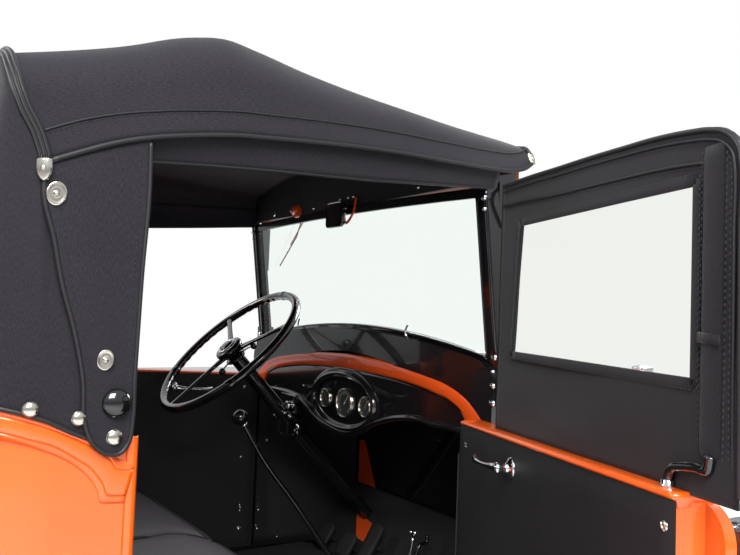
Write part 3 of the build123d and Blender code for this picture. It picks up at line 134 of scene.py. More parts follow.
def make_piece(name, patches, look, body=CHASSIS, smooth=True, closed=True, merge=0.001, replaces=()):
    """One mesh object from patches given in vehicle millimetres, riding on a body, with the materials of its looks."""
    looks = (look,) if isinstance(look, str) else look
    verts, faces, loops, base = [], [], [], 0
    for item in patches:
        found, uv = patch_faces(item, base)
        verts.append(item["points"].reshape(-1, 3))
        faces.append(found)
        loops.append(uv)
        base += len(verts[-1])
    mesh = bpy.data.meshes.new(name)
    mesh.from_pydata(at(np.concatenate(verts)).tolist(), [], np.concatenate(faces).tolist())
    mesh.uv_layers.new(name="UVMap").data.foreach_set("uv", np.concatenate(loops).ravel())
    for key in looks:
        mesh.materials.append(LOOKS[key])
    mesh.polygons.foreach_set("use_smooth", np.full(len(mesh.polygons), smooth))
    merged = bmesh.new()
    merged.from_mesh(mesh)
    bmesh.ops.remove_doubles(merged, verts=merged.verts, dist=merge / 1000)
    bmesh.ops.dissolve_degenerate(merged, edges=merged.edges, dist=1e-7)
    if closed:
        bmesh.ops.recalc_face_normals(merged, faces=merged.faces)
    merged.to_mesh(mesh)
    merged.free()
    mesh.update()
    piece = add_piece(name, mesh, body)
    if replaces:
        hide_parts(*replaces)
    return piece


def thicken(piece, thickness, offset=-1.0):
    """Gives an open sheet its thickness, in millimetres."""
    wall = piece.modifiers.new("wall", "SOLIDIFY")
    wall.thickness = thickness / 1000
    wall.offset = offset
    wall.use_even_offset = False
    return piece


def soften(piece, width, segments=2):
    """Rounds the edges of a piece that are sharper than 35 degrees, in millimetres."""
    bevel = piece.modifiers.new("edges", "BEVEL")
    bevel.width = width / 1000
    bevel.segments = segments
    bevel.limit_method = "ANGLE"
    bevel.angle_limit = math.radians(35)
    return piece


def turns(count):
    """Even angles round a circle."""
    return np.arange(count) * 2 * math.pi / count


def bent(value, power):
    """A signed value's size raised to a power, which squares a circle when it is small."""
    return np.sign(value) * np.abs(value) ** power


def grid_of(x, y, z):
    """Points from numbers or arrays of x, y and z that fit each other."""
    return np.stack(np.broadcast_arrays(*(np.asarray(part, float) for part in (x, y, z))), -1)


def run_of(points):
    """Distance run along a line at each of its points."""
    return np.concatenate(((0,), np.cumsum(np.linalg.norm(np.diff(points, axis=0), axis=1))))


def capped(body, last=True):
    """A sleeve of closed sections whose ends are drawn together at their middles; a hidden last end can stay open."""
    ends = [np.repeat(end.mean(1, keepdims=True), body.shape[1], 1) for end in (body[:1], body[-1:])]
    return patch(np.concatenate((ends[0], body) + ((ends[1],) if last else ())), close_v=True)


def through(points, count, closed=False):
    """Even points on a smooth curve through the given ones: a cubic between each pair whose slopes there are
    the differences of the neighbours."""
    points = np.asarray(points, float)
    if closed:
        points = np.concatenate((points[-2:], points, points[:3]))
    step = np.linalg.norm(np.diff(points, axis=0), axis=1)
    where = np.concatenate(((0,), np.cumsum(np.maximum(step, 1e-9))))
    slope = np.gradient(points, where, axis=0)
    low, high = (where[2], where[-3]) if closed else (where[0], where[-1])
    spot = np.linspace(low, high, count * 8 + 1)
    fine = hermite(points, slope, where, spot)
    length = run_of(fine)
    even = np.linspace(0, length[-1], count + 1 if closed else count)
    even = even[:-1] if closed else even
    return hermite(points, slope, where, np.interp(even, length, spot))


def hermite(points, slope, where, spot):
    """Cubic Hermite values at the spots."""
    k = np.clip(np.searchsorted(where, spot, side="right") - 1, 0, len(where) - 2)
    gap = (where[k + 1] - where[k])[:, None]
    t = (spot - where[k])[:, None] / gap
    a = points[k] * (2 * t ** 3 - 3 * t ** 2 + 1) + points[k + 1] * (3 * t ** 2 - 2 * t ** 3)
    return a + gap * (slope[k] * (t ** 3 - 2 * t ** 2 + t) + slope[k + 1] * (t ** 3 - t ** 2))


def unit(vectors):
    """Vectors scaled to a length of one."""
    vectors = np.asarray(vectors, float)
    return vectors / np.maximum(np.linalg.norm(vectors, axis=-1, keepdims=True), 1e-9)


def carry(profile, path, up=(0, 0, 1), closed=False):
    """A profile (side, lift) carried along a path: point = path + side * (tangent x up) + lift * their normal."""
    path = np.asarray(path, float)
    if closed:
        tangent = unit(np.roll(path, -1, 0) - np.roll(path, 1, 0))
    else:
        tangent = unit(np.gradient(path, axis=0))
    up = np.broadcast_to(np.asarray(up, float), path.shape)
    side = unit(np.cross(tangent, up))
    lift = np.cross(side, tangent)
    profile = np.asarray(profile, float)
    if profile.ndim == 2:
        profile = np.broadcast_to(profile, (len(path),) + profile.shape)
    return path[:, None] + profile[..., :1] * side[:, None] + profile[..., 1:] * lift[:, None]


def ring(radius, sides, squash=1.0):
    """A circle, or an ellipse where squash scales its lift."""
    turn = turns(sides)
    return np.stack((radius * np.cos(turn), radius * squash * np.sin(turn)), -1)


def tube(path, radius, sides=12, up=(0, 0, 1), closed=False, squash=1.0):
    """A round bar along a path, with a radius at each point or one for all, closed at both ends."""
    path = np.asarray(path, float)
    radii = np.broadcast_to(np.asarray(radius, float), len(path))
    body = carry(ring(1, sides, squash)[None] * radii[:, None, None], path, up, closed)
    if not closed:
        first = np.repeat(path[:1, None], sides, 1)
        last = np.repeat(path[-1:, None], sides, 1)
        body = np.concatenate((first, body, last))
    return patch(body, close_u=closed, close_v=True)


def lathe(profile, centre, axis, sides=32):
    """A turned shape: profile is radius and height along the axis, from one end to the other."""
    profile = np.asarray(profile, float)
    axis = unit(axis)
    across = unit(np.cross(axis, (0.13, 0.31, 0.94)))
    other = np.cross(axis, across)
    turn = turns(sides)
    spokes = np.cos(turn)[:, None] * across + np.sin(turn)[:, None] * other
    points = np.asarray(centre, float) + profile[:, None, :1] * spokes[None] + profile[:, None, 1:] * axis
    return patch(points, close_v=True)


def block(corner, size):
    """A plain box as a closed four-sided sleeve with its ends drawn together."""
    x, y, z = corner
    dx, dy, dz = size
    square = np.array(((0, 0), (1, 0), (1, 1), (0, 1)), float)
    layers = []
    for level, spread in ((0, 0), (0, 1), (1, 1), (1, 0)):
        flat = 0.5 + (square - 0.5) * spread
        layers.append(np.stack((x + dx * flat[:, 0], y + dy * flat[:, 1], np.full(4, z + dz * level)), -1))
    return patch(np.array(layers), close_v=True)


def turned(points, angle, centre):
    """Points turned about an upright axis through a centre."""
    spin = np.array(Matrix.Rotation(angle, 3, Vector((0, 0, 1))))
    return (np.asarray(points, float) - centre) @ spin.T + centre


def mirrored(item):
    """The same patch on the other side of the centre plane."""
    return {**item, "points": item["points"] * (1, -1, 1), "flip": not item["flip"]}


def opened(item):
    """A patch of the left door as the right door has it, mirrored and swung open on its hinge."""
    other = mirrored(item)
    return {**other, "points": turned(other["points"], DOOR_OPEN, HINGE)}


def shut(item):
    """A patch of the left door as the left door has it."""
    return item


DOORS = (("left", LEFT_DOOR, shut), ("right", RIGHT_DOOR, opened))


# Materials

def plug(node, values):
    """Sets a node's inputs, by name or number, to values, or links them to the sockets given."""
    for key, value in values.items():
        if isinstance(value, bpy.types.NodeSocket):
            node.id_data.links.new(value, node.inputs[key])
        else:
            node.inputs[key].default_value = value


def add_node(tree, kind, values=None, **settings):
    """Makes a shader node with its settings and inputs, and gives its outputs."""
    node = tree.nodes.new("ShaderNode" + kind)
    for key, value in settings.items():
        setattr(node, key, value)
    plug(node, values or {})
    return node.outputs


def new_material(name, color, roughness, **sockets):
    """A Principled material with values set on its own sockets."""
    material = bpy.data.materials.new(name)
    material.use_nodes = True
    shader = material.node_tree.nodes["Principled BSDF"]
    plug(shader, {"Base Color": (*color, 1.0), "Roughness": roughness})
    plug(shader, {key.replace("_", " "): value for key, value in sockets.items()})
    return material, material.node_tree, shader


def group_shell(name, inputs, outputs):
    """An empty shader node group: inputs are name, kind and default, outputs are name and kind."""
    tree = bpy.data.node_groups.new(name, "ShaderNodeTree")
    for label, kind, value in inputs:
        socket = tree.interface.new_socket(label, in_out="INPUT", socket_type="NodeSocket" + kind)
        if value is not None:
            socket.default_value = value
    for label, kind in outputs:
        tree.interface.new_socket(label, in_out="OUTPUT", socket_type="NodeSocket" + kind)
    return tree, tree.nodes.new("NodeGroupInput").outputs, tree.nodes.new("NodeGroupOutput")


def blotch_group():
    """Slow variation of a surface: a colour a little darker in patches, and a roughness to go with it."""
    tree, start, end = group_shell("Blotches", (
        ("Vector", "Vector", None), ("Color", "Color", None), ("Scale", "Float", 6.0), ("Depth", "Float", 0.2),
        ("Roughness", "Float", 0.4), ("Spread", "Float", 0.1),
    ), (("Color", "Color"), ("Roughness", "Float")))
    noise = add_node(tree, "TexNoise", {"Detail": 5, "Roughness": 0.6, "Vector": start["Vector"],
                                        "Scale": start["Scale"]})
    mask = add_node(tree, "MapRange", {"From Min": 0.3, "From Max": 0.7, "Value": noise["Fac"]})["Result"]
    depth = add_node(tree, "Math", {0: mask, 1: start["Depth"]}, operation="MULTIPLY")
    bright = add_node(tree, "Math", {0: 1.0, 1: depth[0]}, operation="SUBTRACT")
    color = add_node(tree, "VectorMath", {0: start["Color"], "Scale": bright[0]}, operation="SCALE")
    rough = add_node(tree, "Math", {0: mask, 1: start["Spread"], 2: start["Roughness"]}, operation="MULTIPLY_ADD")
    plug(end, {"Color": color[0], "Roughness": rough[0]})
    return tree


def weave_group():
    """Twill in UV metres: two sets of ribs across each other, broken by fine noise. Height and a thread mask."""
    tree, start, end = group_shell("Twill", (
        ("Vector", "Vector", None), ("Threads", "Float", 900.0), ("Slub", "Float", 0.5),
    ), (("Height", "Float"), ("Thread", "Float")))
    waves = []
    for angle in (0.0, math.pi / 2):
        turn = add_node(tree, "Mapping", {"Rotation": (0, 0, angle), "Vector": start["Vector"]})
        waves.append(add_node(tree, "TexWave", {"Distortion": 1.2, "Detail": 1.0, "Detail Scale": 0.6,
                                                "Vector": turn["Vector"], "Scale": start["Threads"]})["Fac"])
    cross = add_node(tree, "Math", {0: waves[0], 1: waves[1]}, operation="MULTIPLY")
    stretch = add_node(tree, "Mapping", {"Scale": (1.0, 7.0, 1.0), "Vector": start["Vector"]})
    slub = add_node(tree, "TexNoise", {"Scale": 160, "Detail": 4, "Vector": stretch["Vector"]})["Fac"]
    mix = add_node(tree, "Mix", {"Factor": start["Slub"], "A": cross[0], "B": slub})
    plug(end, {"Height": mix["Result"], "Thread": slub})
    return tree


def grain_group():
    """Pebbled grain: cells of a Voronoi pattern with soft noise over them, as a height."""
    tree, start, end = group_shell("Pebble grain", (
        ("Vector", "Vector", None), ("Scale", "Float", 500.0), ("Soft", "Float", 0.5),
    ), (("Height", "Float"),))
    place = {"Vector": start["Vector"], "Scale": start["Scale"]}
    cells = add_node(tree, "TexVoronoi", place, feature="SMOOTH_F1")
    noise = add_node(tree, "TexNoise", {"Detail": 6, **place})
    mix = add_node(tree, "Mix", {"Factor": start["Soft"], "A": cells["Distance"], "B": noise["Fac"]})
    plug(end, {"Height": mix["Result"]})
    return tree


GROUPS = {}


def shared(tree, builder, values):
    """Places a shared effect in a material, building it the first time, and gives its outputs."""
    if builder not in GROUPS:
        GROUPS[builder] = builder()
    return add_node(tree, "Group", values, node_tree=GROUPS[builder])


def drifted(tree, color, scale, depth, roughness, spread):
    """Object coordinates, and the slow patches on them in a colour or socket."""
    where = add_node(tree, "TexCoord")["Object"]
    return where, shared(tree, blotch_group, {"Vector": where, "Color": color, "Scale": scale, "Depth": depth,
                                              "Roughness": roughness, "Spread": spread})


def surface(tree, shader, drift, height=None, strength=0.0, distance=0.0):
    """Feeds a shader with the colour and roughness of slow patches, and with a bump where a height is given."""
    plug(shader, {"Base Color": drift["Color"], "Roughness": drift["Roughness"]})
    if height:
        bump = add_node(tree, "Bump", {"Strength": strength, "Distance": distance, "Height": height})
        plug(shader, {"Normal": bump["Normal"]})


def painted(name, color, roughness, depth=0.06, spread=0.04, coat=1.0):
    """Gloss paint: slow colour drift, faint orange peel under a clear coat."""
    material, tree, shader = new_material(name, color, roughness, Coat_Weight=coat, Coat_Roughness=0.03)
    where, drift = drifted(tree, (*color, 1.0), 3.0, depth, roughness, spread)
    peel = shared(tree, grain_group, {"Vector": where, "Scale": 420.0, "Soft": 1.0})
    surface(tree, shader, drift, peel["Height"], 0.02, 0.001)
    return material


def cloth(name, color, light, threads=620.0, uv=True):
    """Coated canvas: woven ribs, streaks of lighter thread and a soft sheen."""
    material, tree, shader = new_material(name, color, 0.78, Sheen_Weight=0.12, Sheen_Roughness=0.5,
                                          Specular_IOR_Level=0.2)
    where = add_node(tree, "TexCoord")["UV" if uv else "Object"]
    weave = shared(tree, weave_group, {"Vector": where, "Threads": threads, "Slub": 0.45})
    streak = add_node(tree, "MapRange", {"From Min": 0.35, "From Max": 0.68, "Value": weave["Thread"]})
    blend = add_node(tree, "Mix", {"A": (*color, 1.0), "B": (*light, 1.0), "Factor": streak["Result"]},
                     data_type="RGBA")
    _, drift = drifted(tree, blend["Result"], 2.2, 0.28, 0.68, 0.14)
    surface(tree, shader, drift, weave["Height"], 0.35, 0.0006)
    return material


def grained(name, color, roughness, scale, strength=0.3, depth=0.15):
    """Leathercloth, moulded rubber or crackle finish: pebbled grain over slow variation."""
    material, tree, shader = new_material(name, color, roughness)
    where, drift = drifted(tree, (*color, 1.0), 5.0, depth, roughness, 0.1)
    pebble = shared(tree, grain_group, {"Vector": where, "Scale": scale, "Soft": 0.4})
    surface(tree, shader, drift, pebble["Height"], strength, 0.0006)
    return material


def plated(name, color, roughness, depth=0.08, spread=0.08):
    """Nickel or chrome plate with a faint haze."""
    material, tree, shader = new_material(name, color, roughness, Metallic=1.0)
    surface(tree, shader, drifted(tree, (*color, 1.0), 30.0, depth, roughness, spread)[1])
    return material


def clear(name, color, roughness, ior, tint):
    """Glass or clear vinyl: see-through from straight on, shiny toward its edges, with a faint haze."""
    material, tree, shader = new_material(name, color, roughness, Transmission_Weight=1.0, IOR=ior)
    _, haze = drifted(tree, (*color, 1.0), 4.0, 0.03, roughness, 0.02)
    plug(shader, {"Roughness": haze["Roughness"]})
    veil = add_node(tree, "BsdfTransparent", {"Color": (*tint, 1.0)})
    edge = add_node(tree, "Fresnel", {"IOR": ior})
    back = add_node(tree, "NewGeometry")["Backfacing"]
    front = add_node(tree, "Math", {0: 1.0, 1: back}, operation="SUBTRACT")
    shine = add_node(tree, "Math", {0: edge["Fac"], 1: front[0]}, operation="MULTIPLY")
    mix = add_node(tree, "MixShader", {"Fac": shine[0], 1: veil[0], 2: shader.outputs["BSDF"]})
    plug(tree.nodes["Material Output"], {"Surface": mix[0]})
    return material


def two_tone(material, color, x, width=4.0):
    """Gives the part of a material behind a station another colour, with a blend of some width between them."""
    tree = material.node_tree
    shader = tree.nodes["Principled BSDF"]
    split = add_node(tree, "SeparateXYZ", {"Vector": add_node(tree, "TexCoord")["Object"]})
    line = at((x, 0, 0))[0]
    reach = add_node(tree, "MapRange", {"From Min": line - width / 2000, "From Max": line + width / 2000,
                                        "Value": split["X"]})
    plain = shader.inputs["Base Color"].links[0].from_socket
    blend = add_node(tree, "Mix", {"A": (*color, 1.0), "B": plain, "Factor": reach["Result"]}, data_type="RGBA")
    plug(shader, {"Base Color": blend["Result"]})


LOOKS = {}


def make_looks():
    """Every material of the vehicle, made once."""
    paint = bpy.context.scene.roadster_paint
    orange = tuple(paint.body_color)
    black = (0.006, 0.006, 0.007)
    fabric = tuple(paint.fabric_color)
    pale = tuple(min(1.0, value * 2.7) for value in fabric)
    LOOKS["orange"] = painted("orange_enamel", orange, 0.26, depth=0.05)
    LOOKS["rail"] = painted("deep_orange_enamel", tuple(paint.rail_color), 0.3, depth=0.08)
    LOOKS["black"] = painted("black_enamel", black, 0.16, depth=0.1)
    LOOKS["chassis"] = painted("chassis_black", (0.012, 0.012, 0.013), 0.42, depth=0.2, spread=0.15, coat=0.2)
    LOOKS["iron"] = grained("painted_iron", (0.05, 0.075, 0.055), 0.5, scale=260.0, strength=0.4)
    LOOKS["fabric"] = cloth("top_canvas", fabric, pale)
    LOOKS["binding"] = grained("bound_edge", (0.012, 0.011, 0.013), 0.42, scale=900.0, strength=0.25)
    LOOKS["thread"] = grained("dark_thread", (0.024, 0.022, 0.026), 0.7, scale=1500.0)
    LOOKS["curtain"] = cloth("curtain_canvas", tuple(0.5 * value for value in fabric),
                             tuple(0.55 * value for value in pale))
    LOOKS["lining"] = cloth("top_lining", (0.012, 0.011, 0.014), (0.03, 0.028, 0.034), threads=500.0, uv=False)
    LOOKS["vinyl"] = grained("seat_leathercloth", (0.085, 0.077, 0.085), 0.42, scale=700.0, strength=0.22)
    LOOKS["board"] = grained("door_board", (0.012, 0.012, 0.014), 0.55, scale=900.0, strength=0.35)
    LOOKS["mat"] = grained("floor_mat", (0.014, 0.014, 0.015), 0.7, scale=300.0, strength=0.5)
    LOOKS["tyre"] = grained("tyre_rubber", (0.016, 0.016, 0.017), 0.62, scale=500.0, strength=0.2, depth=0.3)
    LOOKS["gum"] = painted("hard_rubber", (0.004, 0.004, 0.005), 0.12, depth=0.1, coat=0.8)
    LOOKS["chrome"] = plated("chrome", (0.78, 0.78, 0.8), 0.06)
    LOOKS["nickel"] = plated("nickel", (0.7, 0.66, 0.58), 0.16, depth=0.12)
    LOOKS["steel"] = plated("dull_steel", (0.35, 0.35, 0.36), 0.34)
    LOOKS["wood"] = grained("painted_wood", (0.4, 0.07, 0.012), 0.45, scale=90.0, strength=0.1, depth=0.25)
    two_tone(LOOKS["wood"], (0.01, 0.01, 0.011), -24)
    LOOKS["plank"] = grained("load_planks", (0.16, 0.075, 0.03), 0.5, scale=60.0, strength=0.3, depth=0.35)
    LOOKS["glass"] = clear("windshield_glass", (0.97, 1.0, 0.98), 0.01, 1.5, (0.94, 0.97, 0.95))
    LOOKS["pane"] = clear("clear_vinyl", (0.97, 0.98, 0.96), 0.06, 1.4, (0.93, 0.94, 0.92))
    LOOKS["mirror"] = plated("mirror_glass", (0.85, 0.86, 0.86), 0.02, depth=0.02, spread=0.01)
    LOOKS["red"] = painted("red_lens", (0.5, 0.01, 0.008), 0.12, depth=0.1)
    LOOKS["dial"] = painted("dial_face", (0.03, 0.03, 0.03), 0.4, coat=0.0)
    LOOKS["cream"] = painted("cream_marks", (0.75, 0.72, 0.6), 0.5, coat=0.0)


NODE_LOOKS = (
    ("chassis", ("frame", "front_axle", "rear_axle", "knuckle_left", "knuckle_right")),
    ("iron", ("engine",)),
    ("black", ("cowl", "windshield_frame", "dash_panel", "steering_column", "grille", "front_fenders",
               "rear_fenders", "running_boards", "mirror")),
    ("orange", ("quarter_left", "quarter_right", "back_panel", "door_left", "door_right", "hood_left",
                "hood_right", "bed", "tailgate", "wheel_front_left", "wheel_front_right", "wheel_rear_left",
                "wheel_rear_right")),
    ("rail", ("dash_rail",)),
    ("board", ("door_board_left", "door_board_right")),
    ("fabric", ("door_curtain_right", "top_cover", "back_curtain")),
    ("glass", ("windshield_glass",)),
    ("gum", ("steering_wheel",)),
    ("chrome", ("radiator_shell", "lamps", "bumpers", "levers")),
    ("vinyl", ("seat_cushion", "seat_back")),
    ("mat", ("floor",)),
    ("wood", ("top_frame",)),
    ("tyre", ("tyre_front_left", "tyre_front_right", "tyre_rear_left", "tyre_rear_right")),
)


class RoadsterPaint(bpy.types.PropertyGroup):
    """Colours of the vehicle."""

    body_color: FloatVectorProperty(name="Body", description="Enamel of the body, hood and load box",
                                    subtype="COLOR", default=(0.93, 0.125, 0.004), min=0, max=1)
    rail_color: FloatVectorProperty(name="Dash rail", description="Enamel of the arched rail over the dash",
                                    subtype="COLOR", default=(0.8, 0.085, 0.006), min=0, max=1)
    fabric_color: FloatVectorProperty(name="Fabric", description="Dark thread of the top and curtains",
                                      subtype="COLOR", default=(0.0105, 0.0094, 0.0125), min=0, max=1)


class RoadsterStage(bpy.types.PropertyGroup):
    """Floor, lamps and camera."""

    floor_color: FloatVectorProperty(name="Floor", description="Colour of the studio floor", subtype="COLOR",
                                     default=(0.8, 0.8, 0.8), min=0, max=1)
    key_power: FloatProperty(name="Key lamp", description="Power of the large lamp over the vehicle",
                             default=420.0, min=0, unit="POWER")
    sky: FloatProperty(name="Sky", description="Strength of the even light from all sides", default=0.75, min=0)
    focal: FloatProperty(name="Focal length", description="Focal length of the camera on a 36 mm film",
                         default=36.96, min=1, unit="CAMERA")


class RoadsterSizes(bpy.types.PropertyGroup):
    """Sizes of the soft pieces and trim, in millimetres."""

    cloth_thickness: FloatProperty(name="Cloth", description="Thickness of one layer of top fabric", default=1.8,
                                   min=0.5, max=5)
    piping: FloatProperty(name="Piping", description="Radius of the piping along the edges", default=4.2, min=1, max=9)


class ROADSTER_OT_paint(bpy.types.Operator):
    """Makes the materials and gives one to every solid of the frame."""

    bl_idname = "roadster.paint"
    bl_label = "Paint the solids"

    def execute(self, context):
        make_looks()
        for look, names in NODE_LOOKS:
            for name in names:
                mesh = frame["nodes"][name].data
                mesh.materials.clear()
                mesh.materials.append(LOOKS[look])
        return {"FINISHED"}


# Camera, in vehicle millimetres and degrees, worked out from the edges of the cab
CAMERA_PLACE = (-1064.2, -1645.1, 1307.0)
CAMERA_YAW = 56.0
CAMERA_PITCH = 2.6
CAMERA_ROLL = 2.2


def camera_axes():
    """Right, up and forward of the camera from its yaw, pitch and roll."""
    yaw, pitch, roll = (math.radians(value) for value in (CAMERA_YAW, CAMERA_PITCH, CAMERA_ROLL))
    forward = np.array((math.cos(yaw) * math.cos(pitch), math.sin(yaw) * math.cos(pitch), math.sin(pitch)))
    level = np.array((math.sin(yaw), -math.cos(yaw), 0.0))
    upright = np.cross(level, forward)
    right = math.cos(roll) * level + math.sin(roll) * upright
    up = -math.sin(roll) * level + math.cos(roll) * upright
    return right, up, forward


def lamp(name, place, target, size, power):
    """A square area lamp at a place, looking at a target, both in metres of the frame."""
    light = bpy.data.lights.new(name, "AREA")
    light.shape = "RECTANGLE"
    light.size, light.size_y = size
    light.energy = power
    shape = bpy.data.objects.new(name, light)
    shape.location = place
    shape.rotation_euler = (Vector(target) - Vector(place)).to_track_quat("-Z", "Y").to_euler()
    bpy.context.scene.collection.objects.link(shape)


def white_for_camera(tree, plain, out):
    """Shows pure white to the camera, to mirrors and through glass, and lets the plain shader light the rest."""
    path = add_node(tree, "LightPath")
    seen = add_node(tree, "Math", {0: path["Is Camera Ray"], 1: path["Is Transmission Ray"]}, operation="MAXIMUM")
    glow = add_node(tree, "Background", {"Color": (1, 1, 1, 1)})
    mix = add_node(tree, "MixShader", {"Fac": seen[0], 1: plain, 2: glow[0]})
    plug(out, {"Surface": mix[0]})


class ROADSTER_OT_stage(bpy.types.Operator):
    """Makes the floor, the sky, the lamps and the camera."""

    bl_idname = "roadster.stage"
    bl_label = "Set the stage"

    def execute(self, context):
        scene = context.scene
        stage = scene.roadster_stage
        scene.view_settings.view_transform = "Standard"
        world = bpy.data.worlds.new("studio")
        scene.world = world
        world.use_nodes = True
        tree = world.node_tree
        split = add_node(tree, "SeparateXYZ", {"Vector": add_node(tree, "TexCoord")["Generated"]})
        lift = add_node(tree, "MapRange", {"From Min": -1.0, "Value": split["Z"]})
        tints = tree.nodes.new("ShaderNodeValToRGB")
        for stop, place, color in zip(tints.color_ramp.elements, (0.42, 0.62),
                                      ((0.16, 0.17, 0.17, 1), (0.95, 0.97, 1.0, 1))):
            stop.position, stop.color = place, color
        plug(tints, {"Fac": lift["Result"]})
        sky = tree.nodes["Background"]
        plug(sky, {"Strength": stage.sky, "Color": tints.outputs["Color"]})
        white_for_camera(tree, sky.outputs[0], tree.nodes["World Output"])
        floor = bpy.data.meshes.new("studio_floor")
        reach = 14.0
        floor.from_pydata([(-reach, -reach, 0), (reach, -reach, 0), (reach, reach, 0), (-reach, reach, 0)], [],
                          [(0, 1, 2, 3)])
        ground = bpy.data.objects.new("studio_floor", floor)
        scene.collection.objects.link(ground)
        material, tree, shader = new_material("studio_paper", stage.floor_color, 0.9)
        surface(tree, shader, drifted(tree, (*stage.floor_color, 1.0), 0.6, 0.03, 0.9, 0.02)[1])
        floor.materials.append(material)
        lamp("key", (-1.6, -3.6, 4.6), (0.2, 0.1, 1.2), (3.0, 3.0), stage.key_power)
        lamp("fill", (-3.6, 2.6, 3.4), (0.0, 0.2, 1.1), (2.4, 2.4), stage.key_power * 0.35)
        lamp("front", (5.0, 1.5, 3.6), (0.4, 0.2, 1.0), (2.4, 2.4), stage.key_power * 0.5)
        right, up, forward = camera_axes()
        camera = bpy.data.cameras.new("camera")
        camera.lens = stage.focal
        camera.sensor_width = 36
        camera.clip_start = 0.02
        eye = bpy.data.objects.new("camera", camera)
        turn = Matrix([[right[k], up[k], -forward[k]] for k in range(3)]).to_4x4()
        eye.matrix_world = Matrix.Translation(Vector(at(CAMERA_PLACE))) @ turn
        scene.collection.objects.link(eye)
        scene.camera = eye
        return {"FINISHED"}


# Soft top, from the front: x, half width and height at the piped edge, height of the shoulder and of the crown
TOP_TABLE = np.array((
    (74, 543, 1628, 1652, 1704),
    (50, 546, 1612, 1657, 1709),
    (15, 551, 1601, 1660, 1713),
    (-60, 561, 1593, 1662, 1718),
    (-147, 571, 1589, 1664, 1724),
    (-309, 589, 1583, 1675, 1737),
    (-391, 598, 1578, 1682, 1742),
    (-481, 609, 1570, 1691, 1751),
    (-565, 620, 1561, 1704, 1762),
    (-618, 627, 1555, 1709, 1766),
    (-665, 632, 1547, 1698, 1756),
    (-783, 645, 1518, 1650, 1708),
    (-892, 657, 1470, 1606, 1664),
))
SHOULDER_LEAN = 14
SHOULDER_ROUND = ((74, 22), (15, 36), (-290, 62), (-618, 92), (-892, 84))
SEAM_LIFT = 33
REAR_BOW_X = -888


def top_row(x):
    """Half width, edge, shoulder and crown heights of the top at a station."""
    where = -TOP_TABLE[:, 0]
    slope = np.gradient(TOP_TABLE[:, 1:], where, axis=0)
    return hermite(TOP_TABLE[:, 1:], slope, where, np.atleast_1d(-float(x)))[0]


def arch_line(half, low, corner, mid, bend, lean, counts=(7, 12, 26)):
    """An arch from its left foot over the crown to its right foot, as (y, z) points: a leaning side, a shoulder
    arc tangent to it and to the crown, and the crown, a shallow circle through the middle's height."""
    top = half - lean
    sag = mid - corner
    big = (top ** 2 + sag ** 2) / (2 * sag)
    down = np.array((lean, low - corner))
    down = down / np.linalg.norm(down)
    inward = np.array((down[1], -down[0]))
    place = np.array((top, corner)) + inward * bend
    centre = np.array((0.0, mid - big))
    gap = place - centre
    along = gap @ down
    root = math.sqrt(max(along ** 2 - gap @ gap + (big - bend) ** 2, 0))
    travel = -along - root if -along - root >= 0 else -along + root
    hub = place + down * travel
    side = hub - inward * bend
    crown = centre + (hub - centre) / np.linalg.norm(hub - centre) * big
    a0 = math.atan2(*(side - hub)[::-1])
    a1 = math.atan2(*(crown - hub)[::-1])
    turn = np.linspace(a0, a1, counts[1] + 1)
    c1 = math.atan2(*(crown - centre)[::-1])
    over = np.linspace(c1, math.pi / 2, counts[2] + 1)[1:]
    foot = np.array((half, low))
    share = np.linspace(0, 1, counts[0] + 1)[:-1, None]
    left = np.concatenate((
        foot + share * (side - foot),
        hub + bend * np.stack((np.cos(turn), np.sin(turn)), -1),
        centre + big * np.stack((np.cos(over), np.sin(over)), -1),
    ))
    return np.concatenate((left, left[-2::-1] * (-1, 1)))


def top_section(x, drop=0.0, shrink=0.0):
    """Points across the top at a station, drawn in by shrink, its foot lowered by drop."""
    half, edge, shoulder, crown = top_row(x)
    bend = np.interp(-x, [-row[0] for row in SHOULDER_ROUND], [row[1] for row in SHOULDER_ROUND])
    line = arch_line(half - shrink, edge - drop, shoulder - shrink, crown - shrink, bend - shrink, SHOULDER_LEAN)
    return np.column_stack((np.full(len(line), float(x)), line))


def ease(value, low, high):
    """A smooth step from 0 at low to 1 at high."""
    t = np.clip((np.asarray(value, float) - low) / (high - low), 0, 1)
    return t * t * (3 - 2 * t)


def fabric_ripple(points, size):
    """Slow unevenness of stretched cloth: a few long waves across each other, in millimetres."""
    x, y, z = np.moveaxis(points, -1, 0)
    wave = np.sin(x / 61 + 1.3 * np.sin(y / 140)) * np.sin(y / 93 + x / 170)
    return size * (wave + 0.5 * np.sin(z / 37 + x / 83 + y / 55))


def outward(points):
    """Unit normals of a grid of points."""
    return unit(np.cross(np.gradient(points, axis=0), np.gradient(points, axis=1)))


def lean_back(points):
    """Points of the top's rear part moved back with height, as its rear edge leans over the last bow."""
    points = np.array(points, float)
    near = np.clip((-740 - points[..., 0]) / 148, 0, 1.1)
    points[..., 0] -= near ** 1.5 * np.interp(points[..., 2], (1484, 1512, 1537, 1562, 1595, 1664),
                                              (0, 10, 25, 35, 42, 48))
    return points


def edge_path(drop=0.0, out=0.0, first=74.0, last=-878.0, count=90, sign=-1):
    """Line along the top's piped edge on one side, lowered and moved out."""
    xs = np.linspace(first, last, count)
    rows = np.array([top_row(x) for x in xs])
    return np.column_stack((xs, sign * (rows[:, 0] + out), rows[:, 1] - drop))


def side_line(height, out=1.0, first=60.0, last=-878.0, count=90, sign=-1):
    """Line a given height over the piped edge, on the fabric's leaning side."""
    path = edge_path(-height, out, first, last, count, sign)
    rows = np.array([top_row(x) for x in path[:, 0]])
    share = np.clip(height / (rows[:, 2] - rows[:, 1]), 0, 1)
    path[:, 1] -= sign * SHOULDER_LEAN * share
    return path


